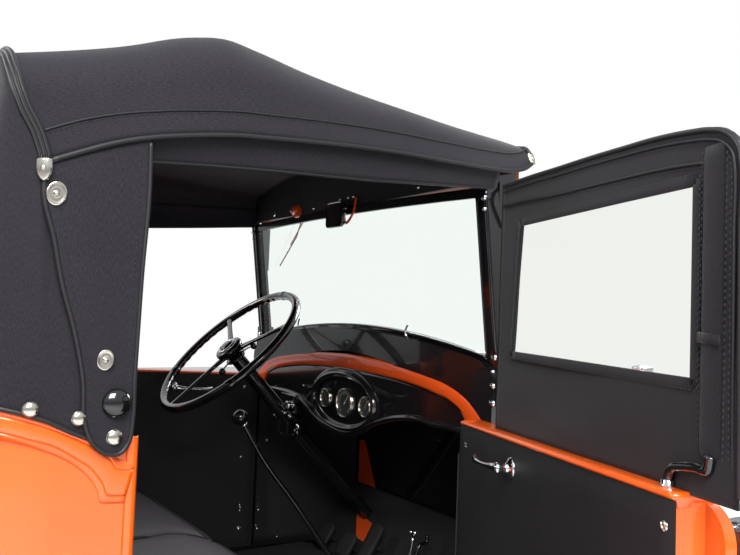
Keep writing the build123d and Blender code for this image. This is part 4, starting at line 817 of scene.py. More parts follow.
def stitches(path, normal, gap=7.0, length=4.4, width=0.9):
    """Short raised stitches along a path: each is a small five-point lens lying on the surface."""
    run = run_of(path)
    middle = np.arange(gap / 2, run[-1], gap)
    spots = np.stack([np.interp(middle, run, path[:, k]) for k in range(3)], -1)
    ahead = np.stack([np.interp(middle + length / 2, run, path[:, k]) for k in range(3)], -1)
    along = unit(ahead - spots) * length / 2
    lift = unit(np.broadcast_to(np.asarray(normal, float), spots.shape))
    across = np.cross(lift, unit(along)) * width
    rise = lift * width
    return np.stack((spots - along, spots - across, spots + rise, spots + across, spots + along), 1)


def stitch_piece(name, lines, body=CHASSIS):
    """One mesh of all the stitches of several lines: each stitch has six small faces."""
    corners = np.concatenate([stitches(path, normal) for path, normal in lines])
    base = np.arange(len(corners))[:, None, None] * 5
    tris = np.array(((0, 1, 2), (1, 4, 2), (4, 3, 2), (3, 0, 2), (0, 3, 1), (3, 4, 1)))
    faces = (base + tris[None]).reshape(-1, 3)
    mesh = bpy.data.meshes.new(name)
    mesh.from_pydata(at(corners.reshape(-1, 3)).tolist(), [], faces.tolist())
    mesh.materials.append(LOOKS["thread"])
    add_piece(name, mesh, body)


def ribbed_strip(path, up, width=17.0, height=4.5):
    """Binding with three ribs and two grooves along a path; up is the way out of the fabric."""
    across = np.linspace(-1, 1, 25)
    ribs = height * (0.45 + 0.55 * np.abs(np.cos(across * 1.5 * math.pi))) * (1 - across ** 8)
    top = np.column_stack((across * width / 2, ribs))
    low = np.array(((width / 2, -2.0), (-width / 2, -2.0)))
    return capped(carry(np.concatenate((top, low)), path, up))


def pointed_tip(base, along, out, length=27.0, width=20.0, height=7.0):
    """Nickel end cap of a binding: square where it meets the binding, drawn to a point, domed over its width."""
    along, out = unit(along), unit(out)
    across = np.cross(along, out)
    share = np.linspace(0, 1, 16)
    spread = width / 2 * np.sqrt(np.clip(1 - np.clip((share - 0.35) / 0.65, 0, 1) ** 1.7, 0, 1))
    rise = height * (1 - 0.6 * share ** 2)
    turn = np.linspace(0, math.pi, 13)
    lid = np.asarray(base, float) + (share * length)[:, None, None] * along \
        + (spread[:, None] * np.cos(turn))[..., None] * across \
        + (rise[:, None] * np.sin(turn) ** 0.7)[..., None] * out
    return patch(np.concatenate((lid[:1] * 0 + lid[:1].mean(1, keepdims=True), lid)))


def dome(centre, normal, radius, height, sides=24):
    """A round-headed nail or snap: a flat rim under a shallow dome."""
    lift = np.linspace(0, 1, 8)
    profile = [(radius * 0.96, -1.0), (radius, 0.0), (radius, height * 0.22)]
    profile += [(radius * math.cos(t * math.pi / 2) * 0.97, height * (0.22 + 0.78 * math.sin(t * math.pi / 2)))
                for t in lift]
    return lathe([(0.0, -1.0)] + profile, centre, normal, sides)


def screw(centre, normal, radius, height, slot_turn):
    """An oval-head screw: height falls as a circle's arc to the rim and drops in a straight slot across it."""
    rim = np.linspace(0, 1, 9)
    turn = turns(28)
    reach = rim[:, None] * np.ones(28)
    rise = height * np.sqrt(np.clip(1.02 - reach ** 2, 0, None))
    cut = np.abs(reach * np.sin(turn - slot_turn)) < 0.2
    rise = np.where(cut & (reach < 0.93), rise - height * 0.75, rise)
    rise[-1] = -0.6
    normal = unit(normal)
    across = unit(np.cross(normal, (0.31, 0.17, 0.93)))
    other = np.cross(normal, across)
    flat = np.cos(turn)[:, None] * across + np.sin(turn)[:, None] * other
    points = np.asarray(centre, float) + radius * reach[..., None] * flat[None] + rise[..., None] * normal
    return patch(points, close_v=True, flip=True)


class ROADSTER_OT_top(bpy.types.Operator):
    """Makes the fabric top: cover, piping, seams and ribbed bindings with their tips."""

    bl_idname = "roadster.top"
    bl_label = "Soft top"

    def execute(self, context):
        sizes = context.scene.roadster_sizes
        xs = np.concatenate((np.linspace(74, 0, 10)[:-1], np.linspace(0, REAR_BOW_X, 64)))
        cover = lean_back(np.array([top_section(x) for x in xs]))
        cover += outward(cover) * (fabric_ripple(cover, 0.9) * ease(cover[..., 2], 1600, 1680))[..., None]
        sheet = make_piece("top_cover_cloth", [patch(cover)], ("fabric", "lining"),
                           closed=False, replaces=("top_cover",))
        wall = thicken(sheet, sizes.cloth_thickness * 2.2).modifiers["wall"]
        wall.material_offset = 1
        pipes, seams, tips = [], [], []
        for sign in (-1, 1):
            edge = edge_path(0.0, 1.0, sign=sign)
            pipes.append(tube(edge, sizes.piping, 10))
            seam = lean_back(side_line(SEAM_LIFT, 1.4, sign=sign))
            seams.append((seam, (0, sign, 0.1)))
            fold = lean_back(side_line(SEAM_LIFT + 3.5, 0.4, sign=sign))
            pipes.append(tube(fold, 1.5, 8))
        make_piece("top_piping", pipes, "binding")
        stitch_piece("top_seam_stitches", seams)
        front = top_section(70, 0, -1.0)[6:-6]
        rear = lean_back(top_section(REAR_BOW_X + 5, 0, -1.5))
        strips = []
        for line, lean in ((front, (0.5, 0, 0)), (rear, (-0.55, 0, 0))):
            middle = line.mean(0) - (0, 0, 160)
            up = unit(line - middle) + lean
            strips.append(ribbed_strip(line, unit(up)))
            for end, inner in ((0, 1), (-1, -2)):
                run = line[end] - line[inner]
                out = unit(np.cross(np.cross(run, up[end]), run))
                if line is front:
                    out = unit(out * 0.3 + (-0.35, np.sign(line[end][1]) * 0.9, 0.1))
                tips.append(pointed_tip(line[end] - unit(run) * 4, run, out))
                tips.append(dome(line[end] + unit(run) * 8 + out * 5.6, out, 3.2, 2.0, sides=14))
        make_piece("top_bindings", strips, "binding")
        make_piece("top_binding_tips", tips, "nickel")
        return {"FINISHED"}


# Strips that hang inside the top's sides: x, lower edge's height
INNER_STRIP = ((-20, 1562), (-39, 1561), (-206, 1545), (-350, 1532), (-568, 1516), (-668, 1508), (-748, 1500))


class ROADSTER_OT_lining(bpy.types.Operator):
    """Makes the strips that hang inside the top's sides, with their hems."""

    bl_idname = "roadster.lining"
    bl_label = "Inner strips"

    def execute(self, context):
        sizes = context.scene.roadster_sizes
        table = np.array(INNER_STRIP, float)
        for label, sign in (("right", -1), ("left", 1)):
            xs = np.linspace(-20, -748, 60)
            low = np.interp(-xs, -table[:, 0], table[:, 1])
            rows = np.array([top_row(x) for x in xs])
            share = np.linspace(0, 1, 9)
            high = rows[:, 1] + 24
            z = high[:, None] + share * (low - high)[:, None]
            belly = 4 * np.sin(share * math.pi) + 1.5 * np.sin(xs / 47)[:, None] * share
            y = sign * (rows[:, 0] - 13)[:, None] + sign * belly - sign * 8 * share
            sheet = patch(np.stack((np.repeat(xs[:, None], 9, 1), y, z), -1), flip=sign < 0)
            hem = np.stack((xs, y[:, -1], low), -1)
            strip = make_piece("inner_strip_" + label, [sheet], "fabric", closed=False)
            thicken(strip, sizes.cloth_thickness, 0.0)
            make_piece("inner_strip_hem_" + label, [tube(hem, 2.6, 8)], "binding")
        return {"FINISHED"}


def spread(points, count, smooth=True):
    """Points along a line at even shares of its length, curved through the given ones or straight."""
    if smooth:
        return through(points, count)
    points = np.asarray(points, float)
    run = run_of(points)
    spot = np.linspace(0, run[-1], count)
    return np.stack([np.interp(spot, run, points[:, k]) for k in range(points.shape[1])], -1)


def cloth_flat(points):
    """Flat size of a sheet in metres: the middle lengths of its grid along both ways."""
    across = np.linalg.norm(np.diff(points, axis=0), axis=2).sum(0).mean() / 1000
    along = np.linalg.norm(np.diff(points, axis=1), axis=2).sum(1).mean() / 1000
    return (float(across), float(along))


# Flap over each rear corner: its rear and front edges from the top down, as x and height
FLAP_REAR = ((-879, 1474), (-882, 1442), (-867, 1385), (-854, 1329), (-835, 1268), (-821, 1206), (-815, 1150),
             (-804, 1126), (-788, 1112))
FLAP_FRONT = ((-749, 1530), (-747, 1460), (-751, 1344), (-752, 1273), (-753, 1204), (-753, 1150), (-756, 1126),
              (-764, 1113), (-772, 1109))
FLAP_BUTTONS = ((-867, 1436, 13.5), (-796, 1235, 12))


def flap_out(x, z):
    """Distance of the flap from the centre plane: flat on the body below, under the piped edge above."""
    low = side_half(x) + 9
    high = np.array([top_row(one)[0] for one in np.ravel(x)]).reshape(np.shape(x)) - 1.5
    share = ease(z, 1130, 1500)
    return low + share * (high - low)


def flap_grid(rows=56, columns=20):
    """Grid of the flap: straight across between its two edges, with two long soft folds down it."""
    rear, front = spread(FLAP_REAR, rows), spread(FLAP_FRONT, rows)
    share = np.linspace(0, 1, columns)
    flat = rear[:, None] + share[None, :, None] * (front - rear)[:, None]
    x, z = flat[..., 0], flat[..., 1]
    fold = 2.2 * np.sin(share * 5.1 + 0.6)[None] * np.sin(np.linspace(0, math.pi, rows))[:, None] ** 0.6
    return np.stack((x, -(flap_out(x, z) + fold + fabric_ripple(flat.repeat(2, -1)[..., :3], 0.5)), z), -1)


def face_near(grid, x, z):
    """Point of a side sheet nearest to an x and height."""
    away = (grid[..., 0] - x) ** 2 + (grid[..., 2] - z) ** 2
    return grid.reshape(-1, 3)[int(np.argmin(away))]


def oval_button(centre, out, radius):
    """Turn-button: an oval plate with a raised rim and a small turning wing on its post."""
    out = unit(out)
    along = unit((0.12, 0, 0.99) - out * np.dot((0.12, 0, 0.99), out))
    across = np.cross(out, along)
    ringed = np.array(((0.0, 0), (0.3, 1.2), (0.55, 1.4), (0.7, 0.9), (0.82, 1.9), (0.93, 1.7), (1.0, 0.2), (0.98, -2)))
    turn = turns(36)
    flat = np.cos(turn)[:, None] * along * 1.16 + np.sin(turn)[:, None] * across * 0.94
    plate = np.asarray(centre, float) + ringed[:, None, :1] * radius * flat[None] + ringed[:, None, 1:] * out
    wing = lathe(((0, 0.6), (3.1, 0.8), (3.4, 3.2), (2.2, 4.6), (0, 5.0)), centre, out, 18)
    return [patch(plate, close_v=True, flip=True), wing]


def knob_button(centre, out, radius, height):
    """A turned round knob with a rolled rim, a shallow dish and a central dome."""
    share = np.array(((1.0, -0.1), (1.02, 0.12), (1.0, 0.3), (0.93, 0.5), (0.8, 0.68), (0.62, 0.84), (0.4, 0.95),
                      (0.18, 1.0), (0, 1.01)))
    return lathe(np.concatenate((((0, -0.1 * height),), share * (radius, height))), centre, out, 40)


class ROADSTER_OT_flaps(bpy.types.Operator):
    """Makes the flaps over the rear corners with their bound edges, stitching and fasteners."""

    bl_idname = "roadster.flaps"
    bl_label = "Corner flaps"

    def execute(self, context):
        sizes = context.scene.roadster_sizes
        grid = flap_grid()
        border = np.concatenate((grid[1:, 0], grid[-1, 1:-1], grid[1:, -1][::-1]))
        inner = grid[2:-3, 2], grid[2:-3, -3]
        for label, sign in (("right", 1), ("left", -1)):
            side = grid * (1, sign, 1)
            sheet = make_piece("flap_cloth_" + label, [patch(side, flip=sign > 0)], "fabric", closed=False)
            thicken(sheet, sizes.cloth_thickness * 1.8, 0.0)
            edge = tube(spread(border, 150, False) * (1, sign, 1), 3.4, 10, up=(0, 1, 0), squash=1.25)
            make_piece("flap_binding_" + label, [edge], "binding")
            lift = np.array((0, -sign * 2.2, 0))
            stitch_piece("flap_stitches_" + label,
                         [(line * (1, sign, 1) + lift, (0, -sign, 0)) for line in inner])
            out = np.array((0, -sign, 0), float)
            plates = []
            for x, z, radius in FLAP_BUTTONS:
                plates += oval_button(face_near(grid, x, z) * (1, sign, 1) + out * 2.4, out, radius)
            make_piece("flap_buttons_" + label, plates, "nickel")
            low = face_near(grid, -777, 1174) * (1, sign, 1) + out * 1.6
            make_piece("flap_knob_" + label, [knob_button(low, out, 19, 13)], "gum")
            domes = [dome(face_near(grid, -777, 1129) * (1, sign, 1) + out * 2.4, out, 10.5, 6)]
            for s, z in ((139, 1173), (82, 1159)):
                spot, normal = quarter_plan(s, z, 12)
                domes.append(dome(spot * (1, sign, 1), normal * (1, sign, 1), 9.5, 5.5))
            make_piece("curtain_snaps_" + label, domes, "nickel")
        return {"FINISHED"}


# Right rear quarter, from the latch pillar back round the corner: distance along the side, and height
QUARTER_START = -741.0
QUARTER_BACK = -1012.0
CORNER_RADIUS = 150.0
FABRIC_FOOT = ((0, 1125), (28, 1124), (52, 1127), (71, 1134), (90, 1142), (120, 1158), (151, 1169), (174, 1175),
               (230, 1179), (320, 1180), (520, 1180), (857, 1180))
BAND_TOP = ((5, 1087), (24, 1089), (39, 1106), (58, 1120), (81, 1132), (120, 1150), (151, 1161), (174, 1167),
            (230, 1170), (320, 1171), (520, 1171), (857, 1171))
BAND_FOOT = ((14, 1052), (26, 1053), (39, 1056), (45, 1072), (51, 1080), (60, 1091), (82, 1107), (105, 1122),
             (138, 1134), (172, 1144), (240, 1149), (320, 1150), (520, 1150), (857, 1150))
BAND_STEP = ((14, 1043), (34, 1045), (47, 1048), (49, 1057), (54, 1069), (62, 1080), (75, 1093), (88, 1103),
             (116, 1118), (172, 1137), (240, 1142), (320, 1143), (520, 1143), (857, 1143))


def quarter_plan(s, z, out):
    """Points and outward normals on the right rear body wall: straight, then a corner arc, then the back."""
    s, z = np.broadcast_arrays(np.asarray(s, float), np.asarray(z, float))
    straight = QUARTER_START - (QUARTER_BACK + CORNER_RADIUS)
    arc = CORNER_RADIUS * math.pi / 2
    half_back = float(side_half(QUARTER_BACK)) - 8
    turn = np.clip((s - straight) / arc, 0, 1) * math.pi / 2
    x = np.where(s < straight, QUARTER_START - s, QUARTER_BACK + CORNER_RADIUS - CORNER_RADIUS * np.sin(turn))
    side = side_half(QUARTER_START - s) - 8 * s / 311
    y = np.where(s < straight, side, half_back - CORNER_RADIUS + CORNER_RADIUS * np.cos(turn))
    y = np.where(s > straight + arc, half_back - CORNER_RADIUS - (s - straight - arc), y)
    meet = float(side_half(QUARTER_BACK + CORNER_RADIUS)) - 8 * straight / 311
    y = y + np.where((s >= straight) & (s <= straight + arc), (meet - half_back) * (1 - turn / (math.pi / 2)), 0)
    normal = np.stack((-np.sin(turn), -np.cos(turn), np.zeros_like(turn)), -1)
    return np.stack((x, -y, z), -1) + normal * np.asarray(out, float)[..., None], normal


class ROADSTER_OT_quarters(bpy.types.Operator):
    """Makes the pressed belt moulding round the back of the body and the ribs of the latch pillars."""

    bl_idname = "roadster.quarters"
    bl_label = "Belt moulding"

    def execute(self, context):
        count = 170
        step, foot, top = (spread(table, count) for table in (BAND_STEP, BAND_FOOT, BAND_TOP))
        up = np.array((0.0, 1.0))
        toward = unit(top - foot)
        rows = [(step - toward * 1.0, -1.2), (step, 0.4), (step + (foot - step) * 0.35, 1.5),
                (step + (foot - step) * 0.75, 3.6), (foot, 4.2), (foot + toward * 0.5, 2.6), (foot + toward * 1.5, 2.6),
                (foot + toward * 2.2, 4.4), (foot + toward * 5, 4.8), ((foot + top) / 2, 5.2),
                (top - toward * 5, 4.8), (top - toward * 2, 4.5), (top - toward * 1.4, 2.6),
                (top - toward * 0.5, 2.6), (top, 4.2), (top + up * 3, 4.2), (top + up * 7, 2.6), (top + up * 11, 0.0),
                (top + up * 14, -4.0)]
        flat = np.array([line for line, _ in rows])
        out = np.array([height for _, height in rows])[:, None] * np.ones(count)
        points, _ = quarter_plan(flat[..., 0], flat[..., 1], out)
        band = patch(points)
        height = np.concatenate((np.linspace(602, 1110, 30), np.linspace(1112, 1130, 8)))
        lean = np.linspace(-1, 1, 11)
        rib_out = 3.2 * np.sqrt(np.clip(1 - lean ** 2, 0, 1)) * np.ones((len(height), 1)) - 0.6
        rib, _ = quarter_plan(7.2 + 6.6 * lean[None] * np.ones((len(height), 1)), height[:, None], rib_out)
        rib = patch(rib, flip=True)
        for label, side in (("right", [band, rib]), ("left", [mirrored(band), mirrored(rib)])):
            piece = make_piece("belt_moulding_" + label, side, "orange", closed=False)
            thicken(piece, 1.2, -1.0)
        return {"FINISHED"}


# Rear curtain: the clear pane's half width and heights on the back
PANE = {"half": 290, "low": 1290, "high": 1450}


class ROADSTER_OT_rear_curtain(bpy.types.Operator):
    """Makes the rear curtain round the back of the cab, with its bound foot and sewn-in clear pane."""

    bl_idname = "roadster.rear_curtain"
    bl_label = "Rear curtain"

    def execute(self, context):
        sizes = context.scene.roadster_sizes
        s = np.concatenate((np.linspace(44, 121, 16)[:-1], np.linspace(121, 357, 30)[:-1],
                            np.linspace(357, 567, 18)[:-1], np.linspace(567, 857, 26)))
        foot_z = np.interp(s, [row[0] for row in FABRIC_FOOT], [row[1] for row in FABRIC_FOOT])
        foot, _ = quarter_plan(s, foot_z, 7.5)
        arch = lean_back(top_section(REAR_BOW_X, -6, 3.0))
        half_arch = arch[: len(arch) // 2 + 1] * (1, -1, 1)
        along = spread(half_arch, 400, False)
        edge = np.linspace(0, 1, 16)[:-1]
        side_x = -797 + (REAR_BOW_X + 797) * edge
        side_top = np.column_stack((side_x, [-(top_row(x)[0] - 7) for x in side_x],
                                    [top_row(x)[1] + 14 for x in side_x]))
        share = np.interp(s[15:], (s[15], 357, 567, 857), (0, 0.34, 0.62, 1.0))
        over = along[np.clip((share * 399).astype(int), 0, 399)]
        head = np.concatenate((side_top, over))
        lift = np.linspace(0, 1, 34)[:, None, None]
        sheet = foot[None] + lift * (head - foot)[None]
        belly = np.sin(lift * math.pi) ** 0.8
        wave = 3.0 * np.sin(s / 31 + 1.1)[None, :, None] + 5.0 * np.exp(-((s - 240) / 70) ** 2)[None, :, None]
        sheet = sheet + outward(sheet) * belly * wave
        whole = np.concatenate((sheet, (sheet * (1, -1, 1))[:, -2::-1]), 1)
        width = whole.shape[1]
        middle = width // 2
        span = int(np.argmin(np.abs(s - (857 - PANE["half"]))))
        first, last = span, width - 1 - span
        heights = whole[:, middle, 2]
        low, high = (int(np.argmin(np.abs(heights - PANE[key]))) for key in ("low", "high"))
        parts = [patch(whole[: low + 1]), patch(whole[high:]), patch(whole[low: high + 1, : first + 1]),
                 patch(whole[low: high + 1, last:])]
        cloth_piece = make_piece("rear_curtain_cloth", parts, "fabric", closed=False,
                                 replaces=("back_curtain",))
        thicken(cloth_piece, sizes.cloth_thickness * 1.6, 0.0)
        opening = np.concatenate((whole[low, first:last], whole[low:high, last], whole[high, last:first:-1],
                                  whole[high:low:-1, first]))
        pane = make_piece("rear_pane", [patch(whole[low: high + 1, first: last + 1])], "pane",
                          closed=False)
        thicken(pane, 1.2, 0.0)
        border = [tube(opening, 5.5, 8, up=(-1, 0, 0.2), closed=True, squash=0.5), tube(whole[0], 3.2, 8)]
        make_piece("rear_curtain_binding", border, "binding")
        return {"FINISHED"}


# Doors: points of a door are its distance from the hinge, height, and depth inward from its outer skin
DOOR_ALONG = 1 / math.sqrt(1 + SIDE_SLOPE ** 2)
BELT_FRONT = 1094.5
BELT_SLOPE = (1120 - 1094.5) / -741
CURTAIN_DEPTH = 28.0
CURTAIN_TOP = ((128, 1540), (241, 1538), (347, 1534), (440, 1531), (527, 1527), (604, 1523), (664, 1517), (700, 1511.5),
               (722, 1505), (737, 1495), (746, 1483))
PANE_CORNERS = {"left": (194, 216), "right": 673.5, "low": 1250, "high": (1461, 1456)}


def on_door(s, z, depth):
    """Points of the left door shut: s along it, z up, depth square to its skin toward the inside."""
    depth = np.asarray(depth, float)
    x = HINGE[0] - np.asarray(s, float) * DOOR_ALONG
    return grid_of(x + depth * (SIDE_SLOPE * DOOR_ALONG), side_half(x) - depth * DOOR_ALONG, z)


def swung(points):
    """Points of the left door shut as the right door has them, open."""
    return turned(np.asarray(points, float) * (1, -1, 1), DOOR_OPEN, HINGE)


def belt(s):
    """Height of the door's top line."""
    return BELT_FRONT - BELT_SLOPE * np.asarray(s, float) + 0.3


INWARD = np.array((SIDE_SLOPE * DOOR_ALONG, -DOOR_ALONG, 0.0))
SWUNG_INWARD = turned(INWARD * (1, -1, 1), DOOR_OPEN, np.zeros(3))


def curtain_edge(count):
    """The curtain's bound edge over its top and down its rear side, as (s, z)."""
    return spread(CURTAIN_TOP + ((749, 1470), (750, 1400), (751, 1300), (752, 1200), (752.5, 1140)), count)


def pane_left(z):
    """Front edge of the clear pane at a height."""
    low, high = PANE_CORNERS["left"]
    return low + (high - low) * np.clip((z - PANE_CORNERS["low"]) / 211, 0, 1)


def pane_high(s):
    """Upper edge of the clear pane along the door."""
    high = PANE_CORNERS["high"]
    return high[0] + (high[1] - high[0]) * (np.asarray(s, float) - 216) / 457


def curtain_grid():
    """Grid of the door curtain in s and z: columns run front edge, pane, rear edge; rows foot, pane, top."""
    u = np.concatenate((np.linspace(0, 1, 9)[:-1], np.linspace(1, 2, 40)[:-1], np.linspace(2, 3, 12)))
    v = np.concatenate((np.linspace(0, 1, 14)[:-1], np.linspace(1, 2, 22)[:-1], np.linspace(2, 3, 10)))
    table = np.array(CURTAIN_TOP)
    uu, vv = np.meshgrid(u, v)
    z = np.interp(vv, (0, 1, 2, 3), (1112, PANE_CORNERS["low"], 1459, 1520))
    front, rear = pane_left(z), np.full_like(z, PANE_CORNERS["right"])
    back = np.interp(z, (1130, 1483), (752.5, 746))
    s = np.where(uu < 1, 128 + uu * (front - 128), np.where(uu < 2, front + (uu - 1) * (rear - front),
                                                              rear + (uu - 2) * (back - rear)))
    high = np.interp(s, table[:, 0], table[:, 1])
    foot = belt(s) + 9
    z = np.where(vv < 1, foot + vv * (PANE_CORNERS["low"] - foot),
                 np.where(vv < 2, PANE_CORNERS["low"] + (vv - 1) * (pane_high(s) - PANE_CORNERS["low"]),
                          pane_high(s) + (vv - 2) * (high - pane_high(s))))
    return s, z, (13, 34), (8, 47)


def strip_on_door(line, width, height, depth=CURTAIN_DEPTH + 1.5):
    """A raised flat band along a line of (s, z) on the curtain's inner face."""
    line = np.asarray(line, float)
    path = on_door(line[:, 0], line[:, 1], depth)
    shape = [(-width / 2, -1), (-width / 2, height * 0.6), (-width / 2 + 1.2, height), (width / 2 - 1.2, height),
             (width / 2, height * 0.6), (width / 2, -1)]
    return capped(carry(shape, path, INWARD))


def door_bar(line, depth, radius, sides=8, squash=1.0):
    """A round bar along a line of (s, z) at a depth in the door."""
    return tube(on_door(line[:, 0], line[:, 1], depth), radius, sides, up=INWARD, squash=squash)


class ROADSTER_OT_door_curtain(bpy.types.Operator):
    """Makes the right door's curtain: cloth, bound edges, rod pocket, sewn frame and clear pane."""

    bl_idname = "roadster.door_curtain"
    bl_label = "Door curtain"

    def execute(self, context):
        sizes = context.scene.roadster_sizes
        s, z, (low, high), (first, last) = curtain_grid()
        calm = np.sin(np.clip((z - 1112) / 420, 0, 1) * math.pi)
        depth = CURTAIN_DEPTH + calm * (1.3 * np.sin(s / 74 + z / 190) + 0.8 * np.sin(z / 41 - s / 260))
        depth += 2.5 * np.exp(-((z - 1150) / 26) ** 2) * np.sin(s / 52)
        points = swung(on_door(s, z, depth))
        parts = [patch(points[: low + 1]), patch(points[high:]), patch(points[low: high + 1, : first + 1]),
                 patch(points[low: high + 1, last:])]
        sheet = make_piece("door_curtain_cloth", parts, "curtain", RIGHT_DOOR, closed=False,
                           replaces=("door_curtain_right",))
        thicken(sheet, sizes.cloth_thickness * 1.6, 0.0)
        wide, tall = cloth_flat(points)
        clear_part = points[low - 1: high + 2, first - 1: last + 2] - SWUNG_INWARD * 1.4
        pane = make_piece("door_pane", [patch(clear_part)], "pane", RIGHT_DOOR, closed=False)
        thicken(pane, 1.0, 0.0)
        edge = curtain_edge(150)
        normal = np.gradient(edge, axis=0)
        normal = unit(np.column_stack((normal[:, 1], -normal[:, 0])))
        tubes = [door_bar(edge, CURTAIN_DEPTH, 3.8, 10, 1.2), door_bar(edge + normal * 10, CURTAIN_DEPTH + 1.6, 1.9)]
        seam = spread(((128, 1504), (223, 1501), (349, 1494), (442, 1491), (528, 1488), (605, 1485), (651, 1482),
                       (693, 1478)), 60)
        tubes.append(door_bar(seam, CURTAIN_DEPTH + 1.8, 2.2, 8, 0.8))
        front = np.column_stack((np.full(30, 128.0), np.linspace(1108, 1539, 30)))
        tubes.append(door_bar(front, CURTAIN_DEPTH, 3.4))
        make_piece("door_curtain_binding", [opened(item) for item in tubes], "binding", RIGHT_DOOR)
        inner = np.array(((210, 1467), (680, 1463), (681, 1243), (187, 1243), (210, 1467)), float)
        loop = [spread(inner[k:k + 2], 24, False) for k in range(4)]
        frame_strips = [strip_on_door(line, 14, 1.6) for line in loop]
        across = np.linspace(0, math.pi, 13)
        tall = np.concatenate((np.linspace(1166, 1180, 6), np.linspace(1186, 1490, 36), (1494,)))
        swell = np.interp(tall, (1166, 1172, 1184, 1488, 1494), (0.2, 0.8, 1, 1, 0.4))
        ps = 709.5 - 16.5 * np.cos(across)[None] * np.interp(tall, (1166, 1176), (0.5, 1))[:, None]
        pd = CURTAIN_DEPTH + 1.0 + 6.5 * (np.sin(across)[None] ** 0.75) * swell[:, None]
        frame_strips.append(patch(on_door(ps, tall[:, None], pd)))
        frame_strips.append(strip_on_door(((694, 1294), (726, 1292)), 11, 2.2, CURTAIN_DEPTH + 7))
        make_piece("door_curtain_frame", [opened(item) for item in frame_strips], "curtain", RIGHT_DOOR)
        level = CURTAIN_DEPTH + 3.4
        marks = (((687, 1468), (688, 1238)), ((205, 1473), (686, 1469)), ((182, 1237), (686, 1237)),
                 ((729.5, 1492), (730.5, 1172)), ((690.5, 1492), (690.5, 1178)))
        rows = [(spread(ends, 90, False), level) for ends in marks]
        rows += [(edge + normal * 15, level - 1.2), (seam - (0, 5), level - 1.2)]
        lines = [(swung(on_door(line[:, 0], line[:, 1], depth)), SWUNG_INWARD) for line, depth in rows]
        stitch_piece("door_curtain_stitches", lines, RIGHT_DOOR)
        rod = through(((645, 1108), (645, 1132), (647, 1143), (654, 1151), (668, 1155), (692, 1159), (712, 1161),
                       (716, 1175)), 60)
        bar = door_bar(rod, CURTAIN_DEPTH + 6, 6.0, 12)
        top_bar = on_door(np.full(40, 711.0), np.linspace(1165, 1488, 40), CURTAIN_DEPTH + 3)
        make_piece("door_rod", [opened(bar), opened(tube(top_bar, 3.2, 10, up=INWARD))],
                   "black", RIGHT_DOOR)
        collar = lathe(((0, 0), (9.5, 0), (9.5, 4), (8, 6), (8, 9), (6.2, 10), (0, 10)),
                       on_door(645.0, belt(645) + 10, CURTAIN_DEPTH + 6), (0, 0, 1), 26)
        make_piece("door_rod_collar", [opened(collar)], "chrome", RIGHT_DOOR)
        return {"FINISHED"}


CAP_SECTION = ((-2, -5), (-2.2, 5), (-0.5, 9), (4, 11.2), (12, 11.8), (38, 11.6), (46, 10.8), (50, 8.8), (51, 6),
               (49.8, 4.2), (46, 3.6), (44, -5))
BOARD = {"front": -9, "rear": 682, "low": 582, "depth": 48.3, "swell": 3.4}
BOARD_FACE = BOARD["depth"] + BOARD["swell"]


def door_trim():
    """Patches of the left door shut: rail cap, board, handle, screws, keyed by what they are made of."""
    s = np.concatenate((np.linspace(-6, -3, 3), np.linspace(0, 676, 60), (677.5,)))
    shrink = np.concatenate(((0.6, 0.9, 1.0), np.ones(60), (0.93,)))
    section = np.array(CAP_SECTION)
    middle = section.mean(0)
    shape = middle + (section - middle) * shrink[:, None, None]
    cap = on_door(s[:, None], belt(s)[:, None] + shape[..., 1], shape[..., 0])
    bs = np.linspace(BOARD["front"], BOARD["rear"], 50)
    share = np.linspace(0, 1, 30)
    bz = BOARD["low"] + share[:, None] * (belt(bs) + 3.2 - BOARD["low"])
    rim = np.minimum(np.minimum(share[:, None], 1 - share[:, None]) * 500,
                     np.minimum(bs - BOARD["front"], BOARD["rear"] - bs)[None])
    bd = BOARD["depth"] + BOARD["swell"] * np.sqrt(np.clip(1 - (1 - np.clip(rim / 4, 0, 1)) ** 2, 0, 1)) \
        + 0.5 * np.sin(bs / 90)[None] * np.sin(share * 7)[:, None]
    board = patch(on_door(np.broadcast_to(bs, bz.shape), bz, bd))
    bell = lathe(((0, 0), (17, 0), (17, 1.5), (14.5, 4), (10, 6), (8, 9), (7.5, 18), (9, 20),
                  (9, 26), (6, 29), (0, 29.5)),
                 on_door(250.0, 1067.0, BOARD_FACE), INWARD, 30)
    run = through(((250, 1067, 22), (234, 1066, 25), (210, 1064, 27), (180, 1062, 27), (156, 1061, 24), (142, 1061, 20),
                   (136, 1062, 17)), 44)
    share = np.linspace(0, 1, 44)
    size = 7.6 - 3.2 * np.sin(share * math.pi) ** 1.2 + 0.5 * np.cos(share * 7)
    size[0], size[-1] = 4.5, 3.4
    lever = door_bar(run, BOARD_FACE + run[:, 2], size, 16, 0.75)
    screws = [screw(on_door(a, b, BOARD_FACE), INWARD, 6.2, 2.4, turn)
              for a, b, turn in ((33, 1065, 0.4), (665, 1092, 1.2), (33, 852, 2.0), (665, 866, 0.1), (33, 640, 1.0),
                                 (665, 640, 0.7), (350, 630, 1.5))]
    return {"orange": [capped(cap)], "board": [board], "chrome": [bell, lever], "nickel": screws}


class ROADSTER_OT_doors(bpy.types.Operator):
    """Makes the doors' rolled top rails, trim boards, inside handles and screws."""

    bl_idname = "roadster.doors"
    bl_label = "Door trim"

    def execute(self, context):
        names = {"orange": "door_cap", "board": "door_panel", "chrome": "door_handle", "nickel": "door_screws"}
        for look, patches in door_trim().items():
            for label, body, change in DOORS:
                old = ("door_board_" + label,) if look == "board" else ()
                make_piece(names[look] + "_" + label, [change(item) for item in patches], look, body,
                           closed=look != "board", replaces=old)
        return {"FINISHED"}


